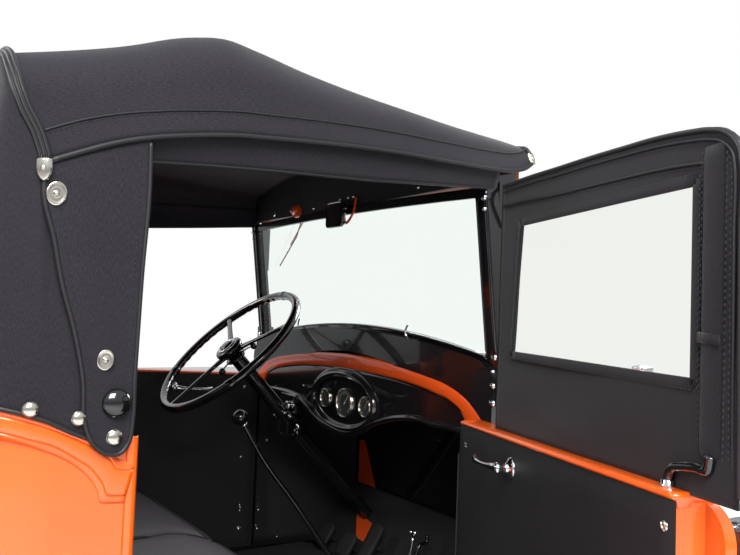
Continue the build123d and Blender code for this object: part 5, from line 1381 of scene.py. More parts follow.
# Steering wheel and column
HUB = np.array((-216.0, 281.0, 1192.0))
COLUMN_TILT = math.radians(46.5)
COLUMN_UP = np.array((-math.cos(COLUMN_TILT), 0.0, math.sin(COLUMN_TILT)))
WHEEL_LEFT = np.array((0.0, 1.0, 0.0))
WHEEL_LOW = np.cross(COLUMN_UP, WHEEL_LEFT)
RIM_RADIUS = 220.0
SPOKE_TURNS = (90, -30, -150)


def on_wheel(turn, reach, lift=0.0):
    """Points of the steering wheel: turn in degrees from its left, reach from the hub, lift up the column."""
    turn, reach, lift = np.broadcast_arrays(np.radians(turn), np.asarray(reach, float), np.asarray(lift, float))
    return HUB + (reach * np.cos(turn))[..., None] * WHEEL_LEFT + (reach * np.sin(turn))[..., None] * WHEEL_LOW \
        + lift[..., None] * COLUMN_UP


def wheel_rim():
    """Rim: an oval ring whose underside swells and sinks between the fingers, with a collar between the spokes.
    radius = 12 - 1.5 * (1 - cos(52 turn)) / 2 * under, and 1.4 more within 2 degrees of a collar."""
    turn = np.linspace(0, 360, 360, endpoint=False)
    around = turns(20)
    under = np.clip(-np.sin(around) * 0.6 - np.cos(around) * 0.7, 0, 1)
    wave = (1 - np.cos(np.radians(turn) * 52)) / 2
    nearest = np.abs((turn[:, None] - np.array(SPOKE_TURNS) - 60 + 180) % 120 - 60).min(1)
    collar = 1.4 * (1 - ease(nearest, 1.6, 2.4))
    free = ease(nearest, 3, 6) * ease(60 - nearest, 8, 12)
    size = 12 + collar[:, None] - 1.5 * wave[:, None] * free[:, None] * under
    return patch(on_wheel(turn[:, None], RIM_RADIUS + size * np.cos(around), size * 0.96 * np.sin(around)),
                 close_u=True, close_v=True)


def wheel_spoke(turn):
    """Spoke: an oval bar, width 34 to 15 to 26 and thickness 15 to 9 to 13 from hub to rim."""
    share = np.linspace(0, 1, 40)
    reach = 20 + share * (RIM_RADIUS - 24)
    wide = (15 + 19 * np.exp(-share * 7) + 15 * np.exp(-(1 - share) * 16)) / 2
    thick = (9 + 6 * np.exp(-share * 6) + 5 * np.exp(-(1 - share) * 16)) / 2
    dish = -9 * (1 - share) ** 1.5
    around = turns(16)
    middle = on_wheel(turn, reach, dish)
    across = on_wheel(turn + 90, 1.0) - HUB
    body = middle[:, None] + (wide[:, None] * np.cos(around))[..., None] * across \
        + (thick[:, None] * np.sin(around))[..., None] * COLUMN_UP
    return capped(body, last=False)


def disc_face(centre, normal, radius, marks):
    """Raised lines on an instrument's face: marks are (turn in degrees, from, to, width) as shares of the radius."""
    normal = unit(normal)
    level = unit(np.cross((0, 0, 1), normal))
    upward = np.cross(normal, level)
    items = []
    for turn, near, far, width in marks:
        angle = math.radians(turn)
        along = math.cos(angle) * level + math.sin(angle) * upward
        side = np.cross(normal, along) * width * radius / 2
        ends = [np.asarray(centre) + along * radius * reach + normal * 0.5 for reach in (near, far)]
        items.append(patch(np.array([[end - side, end + side] for end in ends])))
    return items


class ROADSTER_OT_steering(bpy.types.Operator):
    """Makes the steering wheel with its finger grip, horn button and bezel, and the column's hand levers."""

    bl_idname = "roadster.steering"
    bl_label = "Steering wheel"

    def execute(self, context):
        hub = lathe(((0, -24), (21, -24), (24, -20), (30, -12), (37, -6), (40, 0), (40, 5), (37, 9),
                     (31, 11), (29, 11)),
                    HUB, COLUMN_UP, 48)
        spokes = [wheel_spoke(turn) for turn in SPOKE_TURNS]
        make_piece("steering_wheel_rim", [wheel_rim(), hub] + spokes, "gum", "hand_wheel",
                   replaces=("steering_wheel",))
        horn = lathe(((0, 8), (19.5, 8), (20, 13), (17, 16.5), (10, 18.6), (0, 19.4)), HUB, COLUMN_UP, 40)
        make_piece("horn_button", [horn], "gum", "hand_wheel")
        bezel = lathe(((28.5, 9), (28.5, 12), (26.5, 14.6), (23.5, 15.4), (21.5, 14.2), (20.4, 11), (20.4, 9)), HUB,
                      COLUMN_UP, 40)
        levers, knobs = [], []
        for turn, bend, reach in ((118, 20, 52), (-148, -24, 54)):
            share = np.linspace(0, 1, 24)
            line = on_wheel(turn - bend * (1 - share), 16 + share * reach, -27 + 8 * share)
            levers.append(tube(line, 3.4 - 0.8 * share, 10, up=COLUMN_UP, squash=0.7))
            tip = line[-1] + unit(line[-1] - line[-2]) * 6
            knobs.append(lathe(((0, -9.5), (4, -8.8), (7.6, -5.6), (9.3, 0), (8, 5.2), (4.6, 8.4), (0, 9.5)), tip,
                               line[-1] - line[-2], 22))
        cup = lathe(((20.3, -34), (27, -34), (30, -31), (30, -26.5), (26, -25), (0, -25)), HUB, COLUMN_UP, 36)
        make_piece("lever_knobs", knobs, "gum")
        make_piece("lever_cup", [cup], "black")
        make_piece("horn_bezel", [bezel], "chrome", "hand_wheel")
        make_piece("hand_levers", levers, "chrome")
        return {"FINISHED"}


# Dash: its face's x; the rail's two edges, the panel's lower lip, the dials (y, z, radius) and the oval round them
DASH_FACE = -14.0
RAIL_LINE = ((529, 1096), (504, 1116), (459, 1145), (404, 1164), (330, 1176), (250, 1186), (150, 1194), (0, 1199))
RAIL_FOOT = ((466, 1070), (458, 1092), (446, 1106), (406, 1125), (357, 1137), (270, 1149), (150, 1157), (0, 1161))
LIP_LINE = ((-510, 1062), (-417, 1072), (-354, 1071), (-297, 1074), (-241, 1068), (-183, 1056), (-130, 1039),
            (-65, 1014), (-22, 1001), (14, 999), (60, 1003), (110, 1010), (159, 1027), (200, 1046), (245, 1060),
            (283, 1065), (367, 1068), (440, 1066), (510, 1062))
DIALS = ((0.0, 1073.0, 37.5), (94.0, 1076.0, 25.5), (-94.0, 1074.0, 26.0))
CLUSTER = {"y": 12.0, "z": 1078.0, "wide": 145.0, "high": 70.0}


def rail_height(y):
    """Top line of the dash rail at a width."""
    line = spread(RAIL_LINE, 80)
    return np.interp(np.abs(y), line[::-1, 0], line[::-1, 1])


def rail_band():
    """The arched rail: a strip between its two edge lines with a rounded face, mirrored over the centre."""
    edges = []
    for table in (RAIL_LINE, RAIL_FOOT):
        half = spread(table, 90)
        edges.append(np.concatenate((half, half[-2::-1] * (-1, 1))))
    outer, inner = edges
    share = np.array((0, 0, 0.05, 0.2, 0.5, 0.8, 0.95, 1, 1))[None, :, None]
    depth = np.array((4, -15, -18, -19.4, -20, -19.4, -18, -15, 4.0))
    flat = inner[:, None] + share * (outer - inner)[:, None]
    band = np.stack((np.broadcast_to(depth, flat.shape[:2]), flat[..., 0], flat[..., 1]), -1)
    return capped(band, last=False)


def oval_ring(profile, count=120):
    """A profile (out, lift toward the seat) carried round the oval of the instruments."""
    turn = np.linspace(0, 2 * math.pi, count, endpoint=False)[:, None]
    out, lift = np.asarray(profile, float).T
    wide, high = CLUSTER["wide"] + out, CLUSTER["high"] + out
    return patch(np.stack((np.broadcast_to(DASH_FACE - lift, (count, len(out))), CLUSTER["y"] + wide * np.cos(turn),
                           CLUSTER["z"] + high * np.sin(turn)), -1), close_u=True)


class ROADSTER_OT_dash(bpy.types.Operator):
    """Makes the dash panel with its beaded lip and oval cluster, the instruments, knobs and rail screws."""

    bl_idname = "roadster.dash"
    bl_label = "Dash"

    def execute(self, context):
        y = np.linspace(-509, 509, 180)
        lip = spread(LIP_LINE, 240)
        low = np.interp(y, lip[:, 0], lip[:, 1])
        share = np.linspace(0, 1, 18)[:, None]
        high = rail_height(y) - 37
        face = grid_of(DASH_FACE, y, low + share * (high - low))
        back = face[::-1] + (2.5, 0, 0)
        bead = tube(grid_of(DASH_FACE - 2.5, lip[:, 0], lip[:, 1]), 7.0, 16, up=(1, 0, 0))
        step = oval_ring(((17, -0.5), (14, 2.2), (10, 3.0), (8, 2.6), (7, 3.0), (4.5, 8.6), (1.5, 12), (-1, 13),
                          (-3.5, 12), (-6.5, 7), (-9, 2.6), (-13, 1.4)))
        floor = np.linspace(0, 1, 8)[:, None, None]
        turn = np.linspace(0, 2 * math.pi, 120, endpoint=False)
        rim = grid_of(DASH_FACE - 1.4, CLUSTER["y"] + (CLUSTER["wide"] - 13) * np.cos(turn),
                      CLUSTER["z"] + (CLUSTER["high"] - 13) * np.sin(turn))
        centre = np.array((DASH_FACE - 1.4, CLUSTER["y"], CLUSTER["z"]))
        inside = patch(centre + (rim[None] - centre) * floor, close_v=True)
        make_piece("dash_board", [patch(np.concatenate((face, back)), close_u=True), bead, step, inside],
                   "black", replaces=("dash_panel",))
        make_piece("dash_rail_band", [rail_band()], "rail", replaces=("dash_rail",))
        rings, faces, marks, panes = [], [], [], []
        toward = np.array((-1.0, 0.0, 0.0))
        for number, (py, pz, size) in enumerate(DIALS):
            spot = np.array((DASH_FACE, py, pz))
            rings.append(lathe(((size, -0.5), (size, 6), (size - 1.2, 8.6), (size - 3, 9.2), (size - 4.4, 8.0),
                                (size - 5, 4.5)), spot, toward, 56))
            faces.append(lathe(((size - 4.8, 3.4), (size * 0.5, 3.4), (0, 3.4)), spot, toward, 48))
            spots = np.linspace(-50, 230, 29 if number == 0 else 11)
            lines = [(turn, 0.66 if k % 2 else 0.6, 0.8, 0.022 if k % 2 else 0.04) for k, turn in enumerate(spots)]
            lines.append(((52, 118, 66)[number], -0.2, 0.62, 0.05))
            marks += disc_face(spot + toward * 3.5, toward, size, lines)
            panes.append(lathe(((size - 4.6, 6.6), (size * 0.6, 8.4), (size * 0.3, 9.3), (0, 9.6)), spot, toward, 40))
        pin = lathe(((0, 3), (3, 3), (3, 5), (0, 5.6)), (DASH_FACE, 0, 1073), toward, 16)
        make_piece("dial_rings", rings + [pin], "nickel")
        make_piece("dial_faces", faces, "dial")
        make_piece("dial_marks", marks, "cream", closed=False)
        make_piece("dial_panes", panes, "glass", closed=False)
        fittings = [screw((-18.2, py, rail_height(py) - 19), toward, 5.2, 2.2, turn)
                    for py, turn in ((365, 0.5), (171, 1.4), (-18, 0.2), (-201, 2.0), (-388, 0.9))]
        fittings += [screw((DASH_FACE - 1.2, py, pz), toward, 3.4, 1.6, 0.7)
                     for py, pz in ((158, 1112), (-132, 1060), (222, 1096), (-48, 1152), (14, 1158))]
        for py, pz, size, long in ((262, 1036, 12.5, 26), (238, 1040, 8, 20), (231, 1010, 6.5, 34), (318, 997, 6, 24),
                                   (204, 984, 9, 22), (250, 1017, 5, 40)):
            fittings.append(lathe(((0, -4), (size * 0.7, -4), (size * 0.7, long * 0.5), (size, long * 0.55),
                                   (size, long * 0.9), (size * 0.82, long), (0, long)),
                                  (DASH_FACE - 6, py, pz), toward, 26))
        make_piece("dash_fittings", fittings, "chrome")
        knobs = [lathe(((0, 0), (5, 0), (5, 16), (11, 18), (13, 23), (12, 28), (8, 31), (0, 32)),
                       (DASH_FACE - 4, py, pz),
                       toward, 28) for py, pz in ((331, 994), (204, 968))]
        make_piece("dash_knobs", knobs, "gum")
        drop = [block((DASH_FACE - 18, 236, 990), (24, 92, 76)), block((DASH_FACE - 30, 258, 952), (34, 50, 40))]
        bracket = make_piece("column_bracket", drop, "black", smooth=False)
        soften(bracket, 6, 3)
        return {"FINISHED"}


# Windshield: its foot's x and height, half its thickness, its rake, and the arch of its foot
SCREEN = {"x": 14, "z": 1202, "half": 9}
RAKE = math.radians(7.3)
FOOT_ARCH = {"rise": 54, "half": 518}


def on_screen(y, up, out=0.0):
    """Points of the windshield: width, height along its rake from the foot, distance out of its rear face."""
    up, out = np.asarray(up, float), np.asarray(out, float)
    return grid_of(SCREEN["x"] - SCREEN["half"] * math.cos(RAKE) - up * math.sin(RAKE) - out * math.cos(RAKE), y,
                   SCREEN["z"] + up * math.cos(RAKE) - (SCREEN["half"] + out) * math.sin(RAKE))


def foot_arch(y):
    """Height of the windshield's foot over its ends: rise * (1 - (y / half)^2)."""
    return FOOT_ARCH["rise"] * (1 - (y / FOOT_ARCH["half"]) ** 2)


class ROADSTER_OT_screen(bpy.types.Operator):
    """Makes the windshield's beads, hooks, clamps and nuts, the wiper and the inside mirror."""

    bl_idname = "roadster.screen"
    bl_label = "Windshield trim"

    def execute(self, context):
        y = np.linspace(-517, 517, 120)
        beads = [tube(on_screen(y, foot_arch(y) + 4, 1.0), 5.0, 12, up=(1, 0, 0)),
                 tube(on_screen(y * 0.958, foot_arch(y * 0.958) + 19, 0.6), 2.6, 10, up=(1, 0, 0))]
        for sign in (1, -1):
            beads.append(tube(on_screen(sign * 499.0, np.linspace(22, 348, 30), 0.6), 2.6, 10, up=(1, 0, 0)))
            beads.append(tube(on_screen(sign * 531.0, np.linspace(30, 362, 30), 4.0), 4.6, 12, up=(1, 0, 0)))
        make_piece("windshield_beads", beads, "black")
        chrome = []
        for py in (262, -251):
            foot = foot_arch(py)
            shape = np.array(((-20, 2), (-8, 3), (4, 8), (11, 18), (10, 28), (3, 38), (-1, 42)), float)
            path = on_screen(py + shape[:, 0], foot + shape[:, 1], 9)
            chrome.append(tube(spread(path, 30), np.linspace(3.4, 2.0, 30), 12, up=(1, 0, 0)))
            chrome.append(dome(on_screen(float(py - 20), foot + 2.0, 1.0), (-1, 0, 0.1), 7, 4))
        for sign in (1, -1):
            for up, size in ((345, 6.5), (322, 4.5), (26, 7.0)):
                chrome.append(dome(on_screen(sign * 529.0, up, 8.0), (-1, 0, 0.1), size, 5))
        chrome += [dome((-36, y, z), (-1, 0, 0), size, 3.4) for y, z, size in (
            (31, 1597, 4.2), (-7, 1597, 4.2), (-32, 1598, 4.2), (405, 1590, 8.0), (168, 1586, 5.0),
            (-300, 1590, 4.2), (300, 1590, 4.2))]
        for height, size in ((1199, 3.6), (1171, 6.4), (1137, 7.6)):
            chrome.append(dome((-19.5, -541.0, height), (-1, 0, 0), size, 5))
        make_piece("windshield_fittings", chrome, "chrome")
        irons = []
        for sign in (1, -1):
            line = np.array(((-6, 545, 1568), (-10, 558, 1556), (-9, 560, 1536), (-4, 552, 1510),
                             (2, 543, 1486)), float)
            irons.append(tube(spread(line * (1, sign, 1), 24), 5.0, 12))
            irons.append(dome((-9, sign * 560, 1545), (-0.9, sign * 0.4, 0), 8.5, 9, sides=6))
        make_piece("screen_clamps", irons, "black")
        blade = [tube(((2, 300, 1572), (6, 340, 1520), (8, 441, 1438)), 2.0, 8),
                 tube(((4, 283, 1574), (8, 337, 1535), (9, 380, 1500)), 1.6, 8)]
        motor = [lathe(((0, 0), (16, 0), (18, 6), (18, 34), (14, 40), (0, 42)), (-30, 285, 1588), (0.1, -1, 0), 30),
                 block((-44, 236, 1566), (26, 30, 26))]
        make_piece("wiper_blade", blade, "wood")
        soften(make_piece("wiper_motor", motor, "rail"), 3)
        centre = np.array((-60.0, 16.0, 1552.0))
        turn = turns(48)
        shape = grid_of(0, bent(np.cos(turn), 0.28) * 39, bent(np.sin(turn), 0.28) * 33)
        layers = [centre + (dx, 0, 0) + shape * (1, grow, grow) for dx, grow in
                  ((-3, 0), (-3, 0.9), (-4.5, 0.96), (-3, 1.0), (3, 1.0), (7, 0.94), (8, 0.8), (8, 0))]
        make_piece("mirror_back", [patch(layers, close_v=True)], "black",
                   smooth=False, replaces=("mirror",))
        glass = patch([centre + (-3.4, 0, 0) + shape * (1, grow, grow) for grow in (0, 0.5, 0.88)], close_v=True)
        make_piece("mirror_glass", [glass], "mirror", closed=False)
        arm = spread(np.array(((-51, -15, 1550), (-48, -19, 1530), (-45, -40, 1545), (-42, -49, 1570),
                               (-40, -50, 1592)),
                              float), 30)
        make_piece("mirror_arm", [tube(arm, 4.0, 12, up=(1, 0, 0), squash=0.6)], "rail")
        make_piece("mirror_screws", [dome((-55, -26, z), (-1, 0, 0), 3.2, 2.4, sides=14) for z in (1528, 1553, 1566)],
                   "chrome")
        return {"FINISHED"}


def pad_form(middle, size, power=0.2, rows=44, sides=110):
    """A closed rounded block: its three half sizes times sin and cos of two angles, each to a small power."""
    rise = np.linspace(-math.pi / 2, math.pi / 2, rows)[:, None]
    around = turns(sides)[None]
    level = bent(np.cos(rise), power)
    shape = grid_of(level * bent(np.cos(around), power), level * bent(np.sin(around), power),
                    bent(np.sin(rise), power))
    return np.asarray(middle, float) + shape * np.asarray(size, float) / 2


def bake(piece):
    """Makes the result of a piece's modifiers its own mesh."""
    graph = bpy.context.evaluated_depsgraph_get()
    mesh = bpy.data.meshes.new_from_object(piece.evaluated_get(graph), depsgraph=graph)
    piece.modifiers.clear()
    piece.data = mesh


def mesh_points(piece):
    """The points of a mesh in vehicle millimetres."""
    flat = np.empty(len(piece.data.vertices) * 3)
    piece.data.vertices.foreach_get("co", flat)
    return (flat.reshape(-1, 3) - ORIGIN) * 1000


def set_points(piece, points):
    """Moves the points of a mesh to vehicle millimetres."""
    piece.data.vertices.foreach_set("co", at(points).ravel())
    piece.data.update()


def stuffed(piece, voxel=11.0, cap=10.0, steps=20, pressure=4.0):
    """Swells a closed form as cloth under pressure, each point kept within a distance of where it began."""
    skin = piece.modifiers.new("skin", "REMESH")
    skin.mode = "VOXEL"
    skin.voxel_size = voxel / 1000
    bake(piece)
    start = mesh_points(piece)
    cloth = piece.modifiers.new("swell", "CLOTH")
    cloth.settings.use_pressure = True
    cloth.settings.uniform_pressure_force = pressure
    cloth.settings.effector_weights.gravity = 0
    for number in range(1, steps + 1):
        bpy.context.scene.frame_set(number)
    bake(piece)
    bpy.context.scene.frame_set(1)
    move = mesh_points(piece) - start
    far = np.linalg.norm(move, axis=1, keepdims=True)
    set_points(piece, start + move * np.minimum(1, cap / np.maximum(far, 1e-9)))
    return piece


def on_skin(piece, points, out):
    """The nearest spots of a piece's surface to some points, lifted off it."""
    found = []
    for point in np.asarray(points, float):
        _, spot, normal, _ = piece.closest_point_on_mesh(Vector(at(point)))
        found.append((np.array(spot) - ORIGIN) * 1000 + np.array(normal) * out)
    return np.array(found)


# Line of the seam across the seat cushion, as x and y
SEAT_SEAM = ((-850, -62), (-700, -92), (-568, -104), (-490, -97), (-456, -115), (-430, -142), (-408, -165))


class ROADSTER_OT_seat(bpy.types.Operator):
    """Makes the seat: swollen cushion and back with their seams, welts and piping."""

    bl_idname = "roadster.seat"
    bl_label = "Cushion and back"

    def execute(self, context):
        seam = spread(SEAT_SEAM, 120)
        base = pad_form((-629, 0, 762), (434, 1030, 134))
        high = ease(base[..., 2], 740, 815)
        away = np.interp(base[..., 0], seam[:, 0], seam[:, 1])
        side = base[..., 1] - away
        lobe = np.where(side < 0, 5 * np.sin(np.clip(side / (-515 - away), 0, 1) * math.pi) ** 0.5,
                        np.sin(np.clip(side / (515 - away), 0, 1) * math.pi) ** 0.5)
        front = 6 * ease(base[..., 1], 230, 515) * ease(base[..., 0], -560, -418)
        base[..., 2] += high * (lobe + 3 * np.sin(np.clip((base[..., 0] + 846) / 428, 0, 1) * math.pi) - front)
        base[..., 0] -= 8 * ease(base[..., 1], 120, 515) * ease(base[..., 0], -560, -418)
        cushion = make_piece("seat_cushion_pad", [patch(base, close_v=True)], "vinyl",
                             replaces=("seat_cushion",))
        back_base = pad_form((-910, 0, 958), (92, 984, 344))
        back_base[..., 0] -= 0.06 * (back_base[..., 2] - 786) - 10
        swell = ease(back_base[..., 0], -915, -870)
        back_base[..., 0] += swell * 7 * np.abs(np.sin(back_base[..., 1] / 492 * math.pi)) ** 0.6
        rear = make_piece("seat_back_pad", [patch(back_base, close_v=True)], "vinyl",
                          replaces=("seat_back",))
        for pad, cap in ((cushion, 6.0), (rear, 7.0)):
            stuffed(pad, cap=cap)
        points = mesh_points(cushion)
        away = np.abs(points[:, 1] - np.interp(points[:, 0], seam[:, 0], seam[:, 1]))
        dip = (8 * np.exp(-(away / 8) ** 2) + 5 * np.exp(-(away / 34) ** 2)) * ease(points[:, 2], 770, 800)
        points[:, 2] -= dip
        set_points(cushion, points)
        points = mesh_points(rear)
        points[:, 0] -= (6 * np.exp(-(points[:, 1] / 9) ** 2) + 4 * np.exp(-(points[:, 1] / 32) ** 2)) \
            * ease(points[:, 0], -900, -880)
        set_points(rear, points)
        for pad in (cushion, rear):
            pad.data.polygons.foreach_set("use_smooth", np.ones(len(pad.data.polygons), bool))
            rounds = pad.modifiers.new("rounds", "SUBSURF")
            rounds.levels = rounds.render_levels = 1
        line = grid_of(seam[:, 0], seam[:, 1], 850)
        welts = [tube(on_skin(cushion, line[4:-2], 1.0), 3.0, 10)]
        y = np.linspace(-500, 500, 140)
        x = -389 - 8 * ease(y, 120, 515)
        welts += [tube(on_skin(cushion, grid_of(x, y, z), 2.2), 4.0, 10) for z in (840, 690)]
        welts.append(tube(on_skin(rear, grid_of(-840, y * 0.95, 1160), 2.0), 4.0, 10))
        z = np.linspace(1120, 800, 60)
        welts.append(tube(on_skin(rear, grid_of(-860 - 0.06 * (z - 786), 0, z), 1.0), 3.0, 10, up=(1, 0, 0)))
        make_piece("seat_piping", welts, "binding")
        return {"FINISHED"}


class ROADSTER_OT_cabin(bpy.types.Operator):
    """Makes the kick panels, sills, door edges, floor mat, levers, pedals and the paint seen under the dash."""

    bl_idname = "roadster.cabin"
    bl_label = "Cabin fittings"

    def execute(self, context):
        boards, screws = [], []
        xs = np.concatenate((np.linspace(-17, 26, 8), np.linspace(32, 314, 30)))
        plan = np.interp(xs, (-17, 26, 314), (487.3, 487.3, 441))
        share = np.linspace(0, 1, 16)[:, None]
        for sign in (1, -1):
            grid = grid_of(xs, sign * plan, 579 + share * 470)
            boards.append(patch(np.concatenate((grid, grid[::-1] - (0, sign * 2.6, 0))), close_u=True))
            for x, z in ((-8, 727), (-8, 708), (-10, 699), (-8, 689), (-12, 643), (-9, 634), (60, 1030), (60, 600),
                         (290, 1030), (290, 600), (12, 900)):
                inner = np.interp(x, xs, plan) - 2.6
                screws.append(screw((x, sign * inner, z), (0, -sign, 0), 3.6 if x < 0 else 5.0, 1.8, z * 0.7))
        make_piece("kick_panels", boards, "board")
        xs = np.linspace(-736, -16, 40)
        shape = np.array(((-70, 574), (-70, 580), (-17, 580.6), (-14.5, 580), (-14, 578), (-14, 574)))
        sill = capped(grid_of(xs[:, None], -(side_half(xs)[:, None] + shape[:, 0]), shape[:, 1]), last=False)
        make_piece("door_sills", [sill, mirrored(sill)], "black")
        make_piece("kick_panel_screws", screws, "nickel")
        heads = [screw(on_door(30.5, z, BOARD_FACE), INWARD, 3.4, 1.8, z * 0.7) for z in (709, 702, 691, 642)]
        fold = np.array(((-5.3, 4), (-10.6, 49.0), (-10.2, 51.2), (-6, 52.2), (-6, 48.4), (-9.2, 48.4), (-4.2, 4)))
        edge = patch(on_door(fold[:, 0], np.linspace(583, 1042, 20)[:, None], fold[:, 1]), close_v=True)
        for label, body, change in DOORS:
            make_piece("door_hinge_screws_" + label, [change(item) for item in heads], "nickel", body)
            make_piece("door_edge_" + label, [change(edge)], "board", body, closed=False)
        rib = np.linspace(-470, 470, 480)
        run = np.linspace(-430, 150, 24)[:, None]
        mat = grid_of(run, rib, 577.5 + 0.9 * np.cos(rib * 2 * math.pi / 9.8))
        make_piece("floor_mat", [patch(mat)], "mat", closed=False)
        foot, top = np.array((62.0, 18.0, 584.0)), np.array((-238.0, 127.0, 1016.0))
        rod = spread(np.array((foot, (-9, 55, 674), (-100, 85, 806), (-193, 112, 935), top)), 50)
        levers = [tube(rod, np.linspace(8.5, 6.0, 50), 14),
                  lathe(((0, -6), (30, -6), (34, 0), (30, 10), (18, 26), (11, 40), (9, 44), (0, 44)), foot,
                        (0, 0, 1), 30)]
        shape = spread(((150, -60, 590), (166, -62, 650), (181, -64, 684), (194, -64, 705), (214, -63, 709),
                                 (217, -62, 726)), 40)
        levers.append(tube(shape, 5.0, 12))
        make_piece("floor_levers", levers, "black", replaces=("levers",))
        knob = top + unit(rod[-1] - rod[-2]) * 14
        ball = lathe(((0, -20), (7, -19), (8, -17), (14, -14), (19, -7), (21, 0), (19, 9), (13.5, 16),
                      (7, 19.6), (0, 20.6)),
                     knob, rod[-1] - rod[-2], 40)
        make_piece("lever_ball", [ball], "gum")
        chrome = [lathe(((6.4, -24), (9.6, -23), (10.4, -20), (9.6, -17.5), (6.4, -17), (6.4, -24)), knob,
                        rod[-1] - rod[-2], 30),
                  tube(((150, -60, 590), (158, -60, 660), (170, -60, 716), (174, -60, 731)),
                       np.array((5.5, 5.5, 5.0, 4.0)), 14),
                  dome((176, -61, 737), (-0.7, -0.6, 0.4), 6, 5), dome((164, -60, 741), (-0.7, -0.6, 0.4), 5, 4)]
        make_piece("hand_lever", chrome, "chrome")
        pads = []
        slope = unit((130, 0, 186))
        for y, x, wide, tall in ((350, 196, 62, 70), (228, 196, 62, 70), (130, 214, 44, 120)):
            centre = np.array((x - 38, y, 574 + (x - 170) * 1.43 + 18))
            turn = turns(40)[:, None]
            flat = bent(np.cos(turn), 0.5) * (0, wide / 2, 0) + bent(np.sin(turn), 0.5) * slope * tall / 2
            out = unit((-186, 0, 130))
            pads.append(patch([centre + flat * grow + out * lift for lift, grow in
                               ((0, 0), (0, 0.94), (3, 1), (9, 1), (12, 0.92), (12.5, 0.7), (13, 0))], close_v=True))
            pads.append(tube(np.array((centre, centre + (46, 0, -30))), 7, 10))
        make_piece("pedals", pads, "mat")
        strip = np.array(((425, 890), (394, 896), (330, 770), (284, 693), (316, 699), (424, 745)), float)
        bay = [patch(np.array([[(316, *strip[0]), (316, *strip[1])], [(316, *strip[5]), (316, *strip[2])],
                               [(316, *strip[4]), (316, *strip[3])]])),
               patch(np.array([[(252, 330, 697), (241, 228, 681)], [(209, 264, 636), (208, 222, 634)]]))]
        arms = [block((-12, sign * 529 - 7, 1425), (22, 14, 152)) for sign in (1, -1)]
        arms += [block((-37.2, sign * 529 - 2.5, 1573), (73, 5, 62)) for sign in (1, -1)]
        make_piece("windshield_arms", arms, "black", smooth=False)
        make_piece("firewall_paint", bay, "rail", closed=False)
        return {"FINISHED"}


# Wheels: name, axle x, side
WHEELS = (("front_left", FRONT_AXLE_X, 1), ("front_right", FRONT_AXLE_X, -1), ("rear_left", REAR_AXLE_X, 1),
          ("rear_right", REAR_AXLE_X, -1))
TREAD_BLOCKS = 64
# Outlines of a tyre's side, rim, brake drum, hub and cap: reach from the axle, distance outward
SIDEWALL = ((241.3, 41), (251, 41.4), (255, 46), (262, 51.5), (274, 57), (277, 58.9), (280, 57.9), (296, 60),
            (312, 58.6),
            (315, 59.4), (318, 57.4), (334, 51.5), (345, 45.5), (350, 42.2))
RIM_OUTLINE = ((241, -41), (250, -41), (251.5, -43.5), (250, -46), (238, -46), (234, -43), (231, -38), (213, -24),
               (210, -20), (210, 20), (213, 24), (231, 38), (234, 43), (238, 46), (250, 46), (251.5, 43.5), (250, 41),
               (241, 41), (240, 38), (217, 18), (215, 14), (215, -14), (217, -18), (240, -38), (241, -41))
DRUM_OUTLINE = ((40, -14), (52, -14), (52, -6), (152, -6), (152, -42), (158, -42.4), (160, -38), (158.5, -30),
                (158.5, -3), (156, 0.6), (120, 0.6), (116, 3), (84, 3), (80, 0.6), (40, 0.6), (40, -14))
HUB_OUTLINE = ((19, 0), (58, 0), (58, 3), (50, 6), (47, 12), (46, 30), (49, 42), (52, 46), (52, 50), (47, 54), (19, 54),
               (19, 0))
HUB_CAP = ((0, 52), (47, 52), (48, 55), (47.4, 64), (45, 67.6), (41, 68.4), (39.5, 70.5), (37, 71.6), (28, 76.4),
           (14, 80.6), (0, 82.2))


def on_axle(x, sign, reach, turn, out):
    """Points of a wheel from their reach and turn round the axle and their distance outward."""
    return grid_of(x + reach * np.cos(turn), sign * (WHEEL_Y + out), TYRE_RADIUS + reach * np.sin(turn))


def tyre_patch(x, sign):
    """A tyre: sidewalls turned about the axle, a crown r = 362 - 6 (y/38)^2 cut by two zigzag grooves and by
    slots across its shoulders."""
    turn = turns(TREAD_BLOCKS * 5)[:, None]
    wall = np.array(SIDEWALL, float)
    y = np.linspace(-39, 39, 35)
    zig = 2 / math.pi * np.arcsin(np.sin(TREAD_BLOCKS * turn))
    groove = np.exp(-((np.abs(y) - 12 - 2.6 * zig * np.sign(y)) / 2.3) ** 4)
    slot = ease(np.cos(TREAD_BLOCKS * turn + (y > 0) * math.pi), 0.35, 0.8) * ease(np.abs(y), 21, 24)
    crown = 362 - 6 * (y / 38) ** 2 - 5.5 * np.maximum(groove, slot)
    reach = np.concatenate((np.broadcast_to(wall[:, 0], (len(turn), len(wall))), crown[:, ::-1],
                            np.broadcast_to(wall[::-1, 0], (len(turn), len(wall)))), 1)
    out = np.concatenate((wall[:, 1], y[::-1], -wall[::-1, 1]))
    return patch(on_axle(x, sign, reach, turn, out), close_u=True, close_v=True, flip=sign > 0)


def wheel_spokes(x, sign):
    """Thirty round wires from the hub's two flanges, leaning forward and back by turns, to the rim."""
    items = []
    reach = np.array((46.0, 56.0, 130.0, 206.0, 213.0))
    for number in range(30):
        front = number % 2 == 0
        turn = number * math.pi / 15 + math.radians(26 if front else -26) * np.array((0, 0.09, 0.6, 0.985, 1.0))
        out = np.array((42, 40.5, 23, 9, 8.0)) if front else np.array((9, 9, 7.4, 5.3, 5.0))
        items.append(tube(on_axle(x, sign, reach, turn, out), (3.9, 3.3, 3.3, 3.5, 4.6), 8, up=(0, 1, 0)))
    return items


